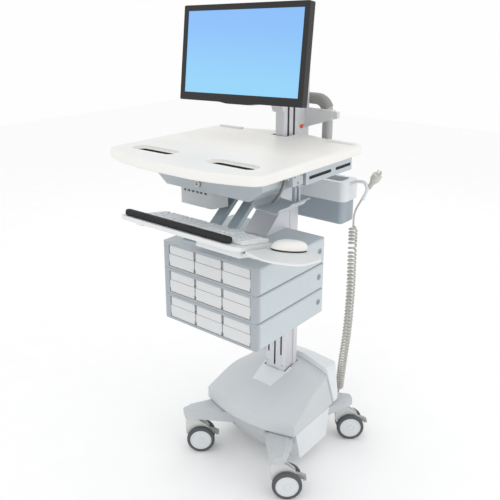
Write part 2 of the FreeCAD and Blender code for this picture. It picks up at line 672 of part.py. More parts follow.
def tech_box():
    """Vented electronics box hung under the pan's left half, clear of the keyboard arm."""
    wall = 3.0
    left, front, back = -152.0, -242.0, 20.0
    plan = [(left, front, 8), (-20, front, 8), (-2, -180, 8), (-60, -178, 6),
            (-60, back, 4), (left, back, 4)]
    inner_plan = [(left + wall, front + wall, 6), (-22, front + wall, 6), (-6, -183, 5), (-63, -181, 6),
                  (-63, back - wall, 3), (left + wall, back - wall, 3)]
    shell = plate_z(plan, 962, PAN_FLOOR).cut(plate_z(inner_plan, 962 + wall, PAN_FLOOR + 1))
    for index in range(7):
        x = left + 16 + 17.0 * index
        if x + 10 < -24:
            shell = shell.cut(box(x, x + 10, front - 4, front + 6, 1004, 1009))
    return shell


def arm_housing():
    """Rounded bowl under the pan, with the lug and pin that carry the keyboard arm."""
    bowl = Part.makeSphere(150, V(58, -60, 1108))
    block = plate_z([(12, -196, 26), (62, -222, 60), (116, -196, 40), (120, 30, 10), (12, 30, 10)],
                    968, PAN_FLOOR)
    arm_gap = box(11, 56, -250, -62, 960, ARM_PIVOT.z + 20)
    lug = plate_x([(ARM_PIVOT.y - 16, PAN_FLOOR, 0), (ARM_PIVOT.y - 13, ARM_PIVOT.z - 12, 11),
                   (ARM_PIVOT.y + 13, ARM_PIVOT.z - 12, 11), (ARM_PIVOT.y + 16, PAN_FLOOR, 0)], -16, 16)
    pin = rod(V(-54, ARM_PIVOT.y, ARM_PIVOT.z), V(54, ARM_PIVOT.y, ARM_PIVOT.z), 5)
    return joined([bowl.common(block).cut(arm_gap), lug, pin])


def lift_lever():
    """Curved blade that releases the head's lift brake, on a pin at the pan's right wall."""
    reach = [(-11, -2, 5), (-6, 9, 5), (8, 7, 6), (6, -14, 30), (-24, -46, 26), (-54, -58, 4), (-59, -51, 4),
             (-34, -30, 26)]
    profile = [(LEVER_PIVOT.y + a, LEVER_PIVOT.z + b, radius) for a, b, radius in reach]
    blade = plate_x(profile, LEVER_PIVOT.x - 8, LEVER_PIVOT.x + 8)
    bore = rod(V(LEVER_PIVOT.x - 16, LEVER_PIVOT.y, LEVER_PIVOT.z),
               V(LEVER_PIVOT.x + 16, LEVER_PIVOT.y, LEVER_PIVOT.z), 3 + PIN_CLEAR)
    return blade.cut(bore)


def scanner_shelf():
    """Curled sheet shelf that hangs from the right rail."""
    profile = [(128, 1012, 0), (140, 998, 10), (216, 992, 16), (234, 1018, 8), (243, 1016, 0),
               (243, 1014, 0), (235, 1015.6, 6), (217, 989.8, 18), (139, 995.8, 12), (126, 1010.8, 0)]
    sheet = plate_y(profile, -238, -108)
    strap = box(198, 220, -138, -108, RAIL_BOTTOM - 6, RAIL_BOTTOM)
    hangers = [box(198, 208, y, y + 10, 991, RAIL_BOTTOM - 4) for y in (-138.0, -118.0)]
    corner_cut = plate_z([(226, -300, 0), (300, -300, 0), (300, -150, 0), (226, -190, 12)], 980, 1030)
    return joined([sheet, strap] + hangers).cut(corner_cut)


def leaned(shape):
    """Tip a shape of the level tray by its lean and carry it onto the arm's hinge."""
    tipped = shape.copy()
    tipped.rotate(TRAY_PIN, X_AXIS, TRAY_LEAN)
    tipped.translate(TILT_PIN - TRAY_PIN)
    return tipped


def keyboard_arm():
    """Two sloping channel arms on one hinge tube, joined by a plate under the tray."""
    end_y = TILT_PIN.y - 20
    knee_y = TILT_PIN.y + 78
    top = TILT_PIN.z + 6
    bottom = TILT_PIN.z - 5
    profile = [(ARM_PIVOT.y - 12, ARM_PIVOT.z - 10, 4), (ARM_PIVOT.y + 8, ARM_PIVOT.z - 8, 6),
               (ARM_PIVOT.y + 8, ARM_PIVOT.z + 9, 6), (ARM_PIVOT.y - 14, ARM_PIVOT.z + 9, 6),
               (knee_y, top, 6), (end_y, top - 1, 2), (end_y, bottom, 2), (knee_y + 10, bottom, 8)]
    arm = plate_x(profile, 17, 52)
    web = box(-17, 17, end_y, knee_y - 4, bottom, top)
    bore = rod(V(-60, ARM_PIVOT.y, ARM_PIVOT.z), V(60, ARM_PIVOT.y, ARM_PIVOT.z), 5 + PIN_CLEAR)
    arms = joined([arm, mirrored(arm), web]).cut(bore)
    pin = rod(V(-52, TILT_PIN.y, TILT_PIN.z), V(52, TILT_PIN.y, TILT_PIN.z), 3 + PIN_CLEAR)
    return arms.cut(pin)


def keyboard_tray():
    """Thin tray with a mouse-tray channel below and tilt lugs outside the arms."""
    plan = [(-TRAY_HALF, TRAY_FRONT + 6, 22), (TRAY_HALF - 6, TRAY_FRONT + 6, 30), (TRAY_HALF, TRAY_BACK, 16),
            (-TRAY_HALF + 8, TRAY_BACK, 16)]
    low = TRAY_TOP - TRAY_THICKNESS
    plate = plate_z(plan, low, TRAY_TOP)
    plate = rounded(plate, 4.0, lambda e: on_level(e, low))
    channel = box(60, 216, -394, -300, 908, low)
    channel = channel.cut(box(58, 218, -386, -299, 915.4, 922.6))
    lugs = both_sides(box(53, 58, -322, -298, 891, low))
    pin = rod(V(-58, TRAY_PIN.y, TRAY_PIN.z), V(58, TRAY_PIN.y, TRAY_PIN.z), 3)
    stop = plate_x([(-400, low, 0), (-392, 917, 3), (-380, 917, 3), (-372, low, 0)], -186, -164)
    return leaned(joined([plate, channel, lugs, pin, stop]))


def palm_rest():
    """Soft bar along the tray's front edge."""
    profile = [(-417, TRAY_TOP, 2), (-391, TRAY_TOP, 2), (-390, TRAY_TOP + 14, 6), (-400, TRAY_TOP + 21, 8),
               (-414, TRAY_TOP + 16, 7)]
    bar = plate_x(profile, -219, 186)
    bar = rounded(bar, 4.0, lambda e: abs(e.BoundBox.XMin - e.BoundBox.XMax) < 1e-4 and e.Length > 5
                  and e.BoundBox.ZMax > TRAY_TOP + 1 and e.BoundBox.ZMin > TRAY_TOP + 1)
    return leaned(bar)


def keyboard():
    """Keyboard body with its rows of keys standing on a wedge."""
    rise = 1.0
    wedge = plate_x([(-386, TRAY_TOP, 1), (-268, TRAY_TOP, 1), (-268, TRAY_TOP + 12, 3),
                     (-386, TRAY_TOP + 7, 3)], -188, 214)
    pieces = [wedge]
    blocks = ((-184, 80), (84, 134), (138, 210))
    for row in range(6):
        y = -380 + 18.4 * row
        z = TRAY_TOP + 6.5 + rise * row
        for x0, x1 in blocks:
            pieces.append(box(x0, x1, y, y + 15.5, z, z + 5.0))
    return leaned(joined(pieces))


def mouse_tray():
    """Paddle for the mouse beside the keyboard tray, on a tongue that slides in the channel below it."""
    low = MOUSE_TRAY_TOP - 6
    tongue = box(64, 262, -385, -304, 916, 922)
    step = box(240, 262, -385, -304, 920, MOUSE_TRAY_TOP - 1)
    plan = [(239, -406, 12), (330, -440, 60), (400, -388, 60), (386, -260, 90),
            (340, -196, 50), (239, -204, 12)]
    return leaned(joined([tongue, step, plate_z(plan, low, MOUSE_TRAY_TOP)]))


def mouse():
    """Low rounded mouse, turned a little on its tray."""
    plan = rectangle(-MOUSE_HALF_WIDTH, MOUSE_HALF_WIDTH, -MOUSE_HALF_LENGTH, MOUSE_HALF_LENGTH, 24)
    body = plate_z(plan, 0, MOUSE_HEIGHT)
    body.rotate(V(0, 0, 0), Z_AXIS, -MOUSE_HEADING)
    body.translate(V(MOUSE_X, MOUSE_Y, MOUSE_TRAY_TOP))
    dome = Part.makeSphere(MOUSE_DOME, V(MOUSE_X, MOUSE_Y, MOUSE_TRAY_TOP + MOUSE_HEIGHT - MOUSE_DOME))
    return leaned(body.common(dome))


# ---------------------------------------------------------------- mast, handle and display
def mast():
    """Track extrusion behind the worksurface, open channels on both sides."""
    plan = [(-MAST_HALF, MAST_FRONT, 4), (MAST_HALF, MAST_FRONT, 4), (MAST_HALF, MAST_BACK, 3),
            (-MAST_HALF, MAST_BACK, 3)]
    body = plate_z(plan, RISER_TOP + 4, MAST_TOP)
    for low, high in TRACKS:
        track = box(MAST_HALF - 5, MAST_HALF + 1, low, high, RISER_TOP, MAST_TOP + 1)
        body = body.cut(track).cut(mirrored(track))
    core = box(-MAST_HALF + 7, MAST_HALF - 7, MAST_FRONT + 8, MAST_BACK - 6, RISER_TOP + 10, MAST_TOP - 4)
    return body.cut(core)


def cross_arm():
    """Tapered accessory arm on the mast's right side with an end stop."""
    taper = plate_y([(MAST_HALF, 1158, 0), (122, 1192, 3), (122, 1222, 3), (MAST_HALF, 1222, 0)], 188, 212)
    cap = box(122, 141, 191, 209, 1197, 1219)
    return joined([taper, rounded(cap, 3.0, lambda e: e.BoundBox.XMin > 140.9)])


def path_with_arcs(points, radii):
    """Wire of straight runs joined by tangent arcs, and the arc radii it used."""
    edges = []
    start = points[0]
    for index in range(1, len(points) - 1):
        corner = points[index]
        before = (points[index - 1] - corner).normalize()
        after = (points[index + 1] - corner).normalize()
        turn = math.pi - before.getAngle(after)
        radius = radii[index - 1]
        reach = radius * math.tan(turn / 2)
        inward = (before + after).normalize()
        middle = corner + inward * (radius / math.cos(turn / 2) - radius)
        enter = corner + before * reach
        leave = corner + after * reach
        edges.append(Part.LineSegment(start, enter).toShape())
        edges.append(Part.Arc(enter, middle, leave).toShape())
        start = leave
    edges.append(Part.LineSegment(start, points[-1]).toShape())
    return Part.Wire(edges)


def cord_radii(points):
    """Arc radius at each inner point: 0.45 of the shorter run over the tangent of half the turn."""
    radii = []
    for index in range(1, len(points) - 1):
        back = points[index - 1] - points[index]
        ahead = points[index + 1] - points[index]
        turn = math.pi - back.getAngle(ahead)
        radii.append(0.45 * min(back.Length, ahead.Length) / math.tan(turn / 2))
    return radii


def swept(wire, radius, direction):
    """Solid swept along wire with a round section that starts square to direction."""
    start = wire.Vertexes[0].Point
    circle = Part.Wire(Part.Circle(start, direction, radius).toShape())
    return wire.makePipeShell([circle], True, False)


def rear_handle():
    """Round-tube push loop behind the mast, with feet that run forward to the head frame."""
    bend = 44.0
    half = 75.0
    plane = 240.0
    foot_z = 1076.0
    points = [V(half, 63.0, foot_z), V(half, plane, foot_z), V(half, plane, 1250),
              V(-half, plane, 1250), V(-half, plane, foot_z), V(-half, 63.0, foot_z)]
    wire = path_with_arcs(points, [34.0, bend, bend, 34.0])
    return swept(wire, 18.0, Y_AXIS)


def display_placement(roll):
    """Position and lean of the display, turned by roll in its own plane."""
    lean = FreeCAD.Rotation(X_AXIS, -SCREEN_TILT)
    return FreeCAD.Placement(SCREEN_CENTRE, lean.multiply(FreeCAD.Rotation(Y_AXIS, roll)))


def placed_display(shape, roll):
    """Move a shape built around the screen's centre into place."""
    moved = shape.copy()
    moved.Placement = display_placement(roll)
    return moved


def display_housing():
    """Display casing with bezel, rear bulge, mounting plate and the stub it turns on."""
    half = SCREEN_WIDTH / 2
    tall = SCREEN_HEIGHT / 2
    wide = half + BEZEL_SIDE
    foot = -tall - BEZEL_FOOT
    face = [(-wide, foot, 4), (-70, foot, 20), (-40, foot - 4, 20),
            (40, foot - 4, 20), (70, foot, 20), (wide, foot, 4),
            (wide, tall + BEZEL_SIDE, 4), (-wide, tall + BEZEL_SIDE, 4)]
    case = plate_y(face, -2, 22)
    window = box(-half, half, -3, 3, -tall, tall)
    case = case.cut(window)
    bulge_low = Part.Wire(outline(rectangle(-150, 150, -95, 95, 24), lambda p: V(p.x, 22, p.y)))
    bulge_high = Part.Wire(outline(rectangle(-118, 118, -70, 70, 18),
                                   lambda p: V(p.x, DISPLAY_DEPTH + 8, p.y)))
    bulge = Part.makeLoft([bulge_low, bulge_high], True, True)
    plate = box(-55, 55, DISPLAY_DEPTH + 8, DISPLAY_DEPTH + 12, -55, 55)
    stub = Part.makeCylinder(8, 15, V(0, DISPLAY_DEPTH + 12, 0), Y_AXIS)
    return joined([case, bulge, plate, stub])


def screen_panel():
    """Flat screen set in the bezel."""
    half = SCREEN_WIDTH / 2
    tall = SCREEN_HEIGHT / 2
    return box(-half + 0.2, half - 0.2, 0, 3, -tall + 0.2, tall - 0.2)


def tilt_head():
    """Block that the display turns in, with ears on the tilt pin."""
    face = DISPLAY_DEPTH + 13
    block = plate_y(rectangle(-24, 24, -24, 24, 8), face, face + 13)
    block = block.cut(Part.makeCylinder(8 + PIN_CLEAR, 40, V(0, face - 5, 0), Y_AXIS))
    ear = plate_x([(face + 8, -16, 2), (HEAD_REACH + 9, -11, 10), (HEAD_REACH + 9, 11, 10), (face + 8, 16, 2)],
                  16, 22)
    pin = rod(V(-22, HEAD_REACH, 0), V(22, HEAD_REACH, 0), 5)
    return joined([block, ear, mirrored(ear), pin])


def tilt_point():
    """Tilt hinge's centre in the cart's layout."""
    return display_placement(0).multVec(V(0, HEAD_REACH, 0))


def pivot_arm():
    """Short swinging arm between the carriage and the tilt head."""
    end = tilt_point()
    low = end.z - 15
    high = end.z + 15
    bar = box(PAN_AXIS.x - 13, PAN_AXIS.x + 13, end.y + 14, PAN_AXIS.y, low, high)
    knuckle = Part.makeCylinder(16, high - low, V(PAN_AXIS.x, PAN_AXIS.y, low))
    nose = rod(V(end.x - 15.4, end.y, end.z), V(end.x + 15.4, end.y, end.z), 11)
    neck = box(end.x - 13, end.x + 13, end.y, end.y + 16, end.z - 9, end.z + 9)
    body = joined([bar, knuckle, nose, neck])
    body = body.cut(rod(V(end.x - 30, end.y, end.z), V(end.x + 30, end.y, end.z), 5 + PIN_CLEAR))
    return body.cut(Part.makeCylinder(6 + PIN_CLEAR, 80, V(PAN_AXIS.x, PAN_AXIS.y, low - 20)))


def display_carriage():
    """Slider that hugs the mast's front and holds the pan pin between two lugs."""
    level = tilt_point().z
    gap = MAST_HALF + CLEAR
    face = MAST_FRONT - CLEAR
    plan = [(-30, 52, 6), (30, 52, 6), (30, 98, 0), (gap, 98, 0), (gap, face, 0),
            (-gap, face, 0), (-gap, 98, 0), (-30, 98, 0)]
    body = plate_z(plan, 1256, level + 44)
    foot = plate_x([(52, 1256, 0), (52, 1240, 0), (60, 1222, 0), (MAST_FRONT - CLEAR, 1222, 0),
                    (MAST_FRONT - CLEAR, 1256, 0)], -22, 22)
    lugs = []
    for z in (level - 15 - CLEAR - 9, level + 15 + CLEAR):
        lug = Part.makeCylinder(16, 9, V(PAN_AXIS.x, PAN_AXIS.y, z))
        web = box(PAN_AXIS.x - 16, PAN_AXIS.x + 16, PAN_AXIS.y, 53, z, z + 9)
        lugs.append(joined([lug, web]))
    pin = Part.makeCylinder(6, 48 + 2 * CLEAR, V(PAN_AXIS.x, PAN_AXIS.y, level - 24 - CLEAR))
    return joined([body, foot, pin] + lugs)


# ---------------------------------------------------------------- rear bin
def bin_bucket():
    """Open bucket that hangs in the holder."""
    outer = plate_z(rectangle(-BIN_HALF, BIN_HALF, BIN_FRONT, BIN_BACK, 16), BIN_BOTTOM, BIN_TOP)
    outer = rounded(outer, 8.0, lambda e: on_level(e, BIN_BOTTOM))
    inner = plate_z(rectangle(-BIN_HALF + 2.5, BIN_HALF - 2.5, BIN_FRONT + 2.5, BIN_BACK - 2.5, 14),
                    BIN_BOTTOM + 2.5, BIN_TOP + 1)
    return outer.cut(inner)


def bin_holder():
    """Pale rim that grips the bucket, its side plates to the head frame and the cord hook."""
    outer = plate_z(rectangle(-184, 184, 184, 286, 22), RIM_BOTTOM, RIM_TOP)
    outer = rounded(outer, 6.0, lambda e: on_level(e, RIM_TOP))
    pocket = plate_z(rectangle(-BIN_HALF - 0.4, BIN_HALF + 0.4, BIN_FRONT - 0.4, BIN_BACK + 0.4, 16.2),
                     RIM_BOTTOM - 1, BIN_TOP + 0.4)
    mouth = plate_z(rectangle(-160, 160, 204, 266, 14), RIM_BOTTOM, RIM_TOP + 1)
    rim = outer.cut(pocket).cut(mouth)
    side_plate = box(COLUMN_HALF + 4, COLUMN_HALF + 7, 96, 186, 968, 1070)
    hook_y = PLUG_TAIL.y - 14
    hook_points = [V(176, hook_y, 976), V(206, hook_y, 992), V(236, hook_y, 996), V(247, hook_y, 972),
                   V(233, hook_y, 938)]
    hook_wire = path_with_arcs(hook_points, [24.0, 15.0, 18.0])
    start = (hook_points[1] - hook_points[0]).normalize()
    hook = swept(hook_wire, 5.5, start)
    tip = Part.makeSphere(7.0, hook_points[-1])
    return joined([rim, side_plate, mirrored(side_plate), hook, tip])


# ---------------------------------------------------------------- power cord
def cord_tube(points, diameter, label):
    """Cord solid along runs and arcs; prints its radii and how well its volume fits its length."""
    radii = cord_radii(points)
    wire = path_with_arcs(points, radii)
    tube = swept(wire, diameter / 2, (points[1] - points[0]).normalize())
    section = math.pi * diameter ** 2 / 4
    ratio = tube.Volume / (section * wire.Length)
    shown = [round(radius) for radius in radii]
    print(f"{label}: length {wire.Length:.0f} mm, radii {shown} mm, volume ratio {ratio:.3f}")
    return tube


def cord_gland():
    """Tapered strain relief that points down from the rear cover's floor."""
    floor_top = REAR_COVER_FLOOR + PANEL
    nut = Part.makeCylinder(12, 5, V(GLAND_X, GLAND_Y, floor_top))
    neck = Part.makeCylinder(GLAND_RADIUS, PANEL + 1, V(GLAND_X, GLAND_Y, REAR_COVER_FLOOR - 0.5))
    cone_length = REAR_COVER_FLOOR - GLAND_EXIT
    cone = Part.makeCone(4.6, 9.5, cone_length, V(GLAND_X, GLAND_Y, GLAND_EXIT))
    return joined([nut, neck, cone])


def power_plug():
    """Moulded plug with a ribbed tail and three contacts."""
    along = (PLUG_TIP - PLUG_TAIL).normalize()
    tail = Part.makeCone(5.0, 8.0, 32, PLUG_TAIL, along)
    pieces = [tail]
    for index in range(4):
        pieces.append(Part.makeCylinder(8.0, 3.0, PLUG_TAIL + along * (6 + 6.5 * index), along))
    pieces.append(Part.makeCone(10.0, 16.0, 14, PLUG_TAIL + along * 30, along))
    pieces.append(Part.makeCylinder(16.0, 20, PLUG_TAIL + along * 43, along))
    across = V(along.z, 0, -along.x)
    for offset in (-6.5, 6.5):
        foot = PLUG_TAIL + along * 62 + across * offset
        pieces.append(rod(foot, foot + along * 17, 2.3))
    ground = PLUG_TAIL + along * 62 + V(0, 7, 0)
    pieces.append(rod(ground, ground + along * 17, 2.3))
    return joined(pieces)


# ---------------------------------------------------------------- assembly
def build():
    """Every node of the cart, in the cart's layout."""
    parts["base_casting"] = base_casting()
    parts["base_hood"] = base_hood()
    parts["rear_cover"] = rear_cover()
    parts["battery_skirts"] = battery_skirts()
    parts["battery_pack"] = battery_pack()
    parts["column"] = Part.makeCompound([column_extrusion(), column_cover()])
    parts["lift_spring"] = lift_spring()
    for name, stem in stem_points().items():
        parts[f"caster_fork_{name}"] = caster_frame(caster_fork(), stem)
        parts[f"caster_wheels_{name}"] = caster_frame(caster_wheels(), stem)
        parts[f"brake_pedal_{name}"] = caster_frame(brake_pedal(), stem)
    parts["riser"] = riser()
    for row in range(ROWS):
        parts[f"drawer_unit_{row + 1}"] = drawer_unit(row)
        for column in range(COLUMNS):
            parts[f"drawer_{row + 1}_{column + 1}"] = drawer(row, column)
    parts["worksurface"] = worksurface()
    parts["underframe"] = underframe()
    parts["key_lock"] = key_lock()
    parts["tech_box"] = tech_box()
    parts["arm_housing"] = arm_housing()
    parts["lift_lever"] = lift_lever()
    parts["scanner_shelf"] = scanner_shelf()
    parts["keyboard_arm"] = keyboard_arm()
    parts["keyboard_tray"] = keyboard_tray()
    parts["palm_rest"] = palm_rest()
    parts["keyboard"] = keyboard()
    parts["mouse_tray"] = mouse_tray()
    parts["mouse"] = mouse()
    parts["mast"] = mast()
    parts["cross_arm"] = cross_arm()
    parts["rear_handle"] = rear_handle()
    parts["display_carriage"] = display_carriage()
    parts["pivot_arm"] = pivot_arm()
    parts["tilt_head"] = placed_display(tilt_head(), 0)
    parts["display_housing"] = placed_display(display_housing(), SCREEN_ROLL)
    parts["screen_panel"] = placed_display(screen_panel(), SCREEN_ROLL)
    parts["bin_bucket"] = bin_bucket()
    parts["bin_holder"] = bin_holder()
    parts["cord_gland"] = cord_gland()
    foot = FOOT_ROUTE + [COIL_START]
    coil = [COIL_START] + COIL_ROUTE + [COIL_END]
    top = [COIL_END + V(0, 0, CLEAR)] + TOP_ROUTE + [PLUG_TAIL]
    parts["cord_foot_lead"] = cord_tube(foot, CORD_DIAMETER, "foot lead")
    parts["cord_coil"] = cord_tube(coil, COIL_DIAMETER, "coil")
    parts["cord_top_lead"] = cord_tube(top, CORD_DIAMETER, "top lead")
    parts["power_plug"] = power_plug()


def footprint_shift():
    """Move that puts the origin at the centre of the cart's own footprint, cord left out."""
    loose = ("cord_gland", "cord_foot_lead", "cord_coil", "cord_top_lead", "power_plug")
    extent = FreeCAD.BoundBox()
    for name, shape in parts.items():
        if name not in loose:
            extent.add(shape.optimalBoundingBox(False, False))
    return V(-(extent.XMin + extent.XMax) / 2, -(extent.YMin + extent.YMax) / 2, -extent.ZMin)


build()
shift = footprint_shift()
print(f"shift {shift.x:.4f} {shift.y:.4f} {shift.z:.4f}")
print(f"tilt hinge {tilt_point().x:.3f} {tilt_point().y:.3f} {tilt_point().z:.3f}")
os.makedirs("parts", exist_ok=True)
for name, shape in parts.items():
    moved = shape.copy()
    moved.translate(shift)
    moved.exportStep(f"parts/{name}.step")
    solids = len(moved.Solids)
    if solids == 0 or not moved.isValid():
        print(f"{name}: {solids} solids, valid {moved.isValid()}")
print(f"{len(parts)} nodes")
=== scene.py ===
"""Medication cart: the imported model, dressed with moulded shells, casters, keys and a curly power cord.

Lengths in the constants are millimetres in the cart's own layout: x = 0 on the centre plane, y = 0
just ahead of the column, z = 0 on the floor. at() turns such a point into the frame's metres.
"""

import math

import bpy
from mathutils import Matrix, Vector
from mathutils.bvhtree import BVHTree


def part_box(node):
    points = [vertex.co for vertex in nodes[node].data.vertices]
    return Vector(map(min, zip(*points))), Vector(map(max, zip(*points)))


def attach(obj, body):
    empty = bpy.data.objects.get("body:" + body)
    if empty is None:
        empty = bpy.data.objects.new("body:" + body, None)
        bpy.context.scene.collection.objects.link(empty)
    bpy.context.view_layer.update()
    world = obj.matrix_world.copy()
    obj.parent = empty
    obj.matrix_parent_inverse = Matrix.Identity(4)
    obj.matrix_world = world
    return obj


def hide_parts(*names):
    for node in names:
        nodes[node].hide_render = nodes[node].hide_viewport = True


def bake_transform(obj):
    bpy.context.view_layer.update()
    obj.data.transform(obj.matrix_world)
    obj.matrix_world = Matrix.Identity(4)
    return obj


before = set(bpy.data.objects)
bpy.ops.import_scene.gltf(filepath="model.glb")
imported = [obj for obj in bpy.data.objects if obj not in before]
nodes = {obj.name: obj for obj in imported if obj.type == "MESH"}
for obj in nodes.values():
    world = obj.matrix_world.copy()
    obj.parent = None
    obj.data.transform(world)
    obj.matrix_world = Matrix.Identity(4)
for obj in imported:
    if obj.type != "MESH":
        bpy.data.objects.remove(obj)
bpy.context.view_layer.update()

# ---------------------------------------------------------------- places and sizes
COLUMN_FRONT = 62.0
column_low, column_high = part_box("column")
ORIGIN = Vector(((column_low[0] + column_high[0]) / 2, column_low[1] - COLUMN_FRONT / 1000, 0.0))
X, Y, Z = Vector((1, 0, 0)), Vector((0, 1, 0)), Vector((0, 0, 1))

CASTERS = {"front_left": (-191, -172), "front_right": (191, -172),
           "rear_left": (-191, 232), "rear_right": (191, 232)}
CASTER_HEADING = math.radians(39.0)
CASTER_TRAIL = 29.0
WHEEL_RADIUS = 50.0
WHEEL_WIDTH = 19.0
CASTER_WIDTH = 65.0

STACK_HALF = 196.0
STACK_FRONT = -289.0
STACK_BACK = 61.0
STACK_BOTTOM = 575.0
UNIT_PITCH = 88.2
DRAWER_PITCH = 111.0
DRAWER_WIDTH = 107.0
DRAWER_DEPTH = 318.0
DRAWER_HEIGHT = 68.0
DRAWER_LIFT = 9.0

TOP_Z = 1145.0
TRAY_TOP = 941.0
MOUSE_TRAY_TOP = 935.0
TRAY_PIN = (-310.0, 898.0)      # y and z of the tray's hinge with the tray level
TILT_PIN = (-320.0, 884.0)      # the same hinge where it sits
TRAY_LEAN = math.radians(-12.0)
TRACKS = ((87, 98), (119, 130))

CORD_DIAMETER = 7.0
COIL_DIAMETER = 33.0            # just inside its tube in the CAD
CORD_ROUTE = [(102, 232, 157), (102, 232, 135), (114, 249, 116), (130, 271, 116), (141, 287, 134),
              (144.1, 285.3, 163.6), (158, 278, 292), (172, 271, 393), (181, 264, 490), (189, 254, 614),
              (190.5, 247, 732), (191.4, 244, 828), (192.6, 242, 876), (216, 240, 922), (240, 240, 968)]
COIL_FOOT = 152.0               # height at which the coil starts
COIL_TOP = 828.0                # height at which it ends
COIL_RAMP = 0.009               # metres over which it widens from the cord to its full size
TURN_POINTS = 14
# share of the way up the coil, and the spacing of its turns there: close at the foot, one wide gap high up
PITCHES = ((0.0, 8.4), (0.12, 10.8), (0.3, 13.8), (0.5, 14.6),
           (0.84, 14.4), (0.88, 22.0), (0.91, 13.0), (1.0, 12.0))


def at(x, y, z):
    """A layout point in the frame's metres."""
    return ORIGIN + Vector((x, y, z)) / 1000


def on_tray(x, y, z):
    """A point given with the keyboard tray level, carried to the leaning tray."""
    ahead = y - TRAY_PIN[0]
    above = z - TRAY_PIN[1]
    turned_y = ahead * math.cos(TRAY_LEAN) - above * math.sin(TRAY_LEAN)
    turned_z = ahead * math.sin(TRAY_LEAN) + above * math.cos(TRAY_LEAN)
    return at(x, TILT_PIN[0] + turned_y, TILT_PIN[1] + turned_z)


# ---------------------------------------------------------------- camera, floor and light
def add_camera():
    """Camera to the cart's right front, level with the top of its display."""
    data = bpy.data.cameras.new("camera")
    data.lens = 46.78
    data.shift_x = 0.0138
    data.shift_y = -0.0841
    camera = bpy.data.objects.new("camera", data)
    camera.location = at(1231.3, -1629.6, 1540.5)
    camera.rotation_euler = (math.radians(90 - 17.07), 0, math.radians(39.18))
    bpy.context.collection.objects.link(camera)
    bpy.context.scene.camera = camera


def add_light(name, place, target, size, power):
    """Square soft box that points at target."""
    data = bpy.data.lights.new(name, "AREA")
    data.size = size
    data.energy = power
    light = bpy.data.objects.new(name, data)
    light.location = place
    light.rotation_euler = (target - place).to_track_quat("-Z", "Y").to_euler()
    bpy.context.collection.objects.link(light)


def add_stage():
    """Pale floor, white surroundings and three soft boxes."""
    mesh = bpy.data.meshes.new("floor")
    reach = 7.0
    mesh.from_pydata([(-reach, -reach, 0), (reach, -reach, 0), (reach, reach, 0), (-reach, reach, 0)], [],
                     [(0, 1, 2, 3)])
    floor = bpy.data.objects.new("floor", mesh)
    bpy.context.collection.objects.link(floor)
    mesh.materials.append(surface("floor_paint", (252, 252, 252), roughness=0.9, mottle=0.008, grain=0.0))
    world = bpy.data.worlds.new("studio")
    world.use_nodes = True
    backdrop = world.node_tree.nodes["Background"]
    backdrop.inputs["Color"].default_value = (1.0, 1.0, 1.0, 1.0)
    backdrop.inputs["Strength"].default_value = 0.99
    bpy.context.scene.world = world
    bpy.context.scene.view_settings.view_transform = "Standard"
    middle = Vector((0, 0, 0.8))
    add_light("key", Vector((0.6, -2.6, 3.0)), middle, 1.4, 7)
    add_light("fill", Vector((3.0, 0.4, 1.8)), middle, 1.6, 7)
    add_light("rim", Vector((-1.6, 2.6, 2.4)), middle, 1.6, 5)


# ---------------------------------------------------------------- materials
def linear(value):
    """Display value 0-255 to linear light."""
    value /= 255
    return value / 12.92 if value <= 0.04045 else ((value + 0.055) / 1.055) ** 2.4


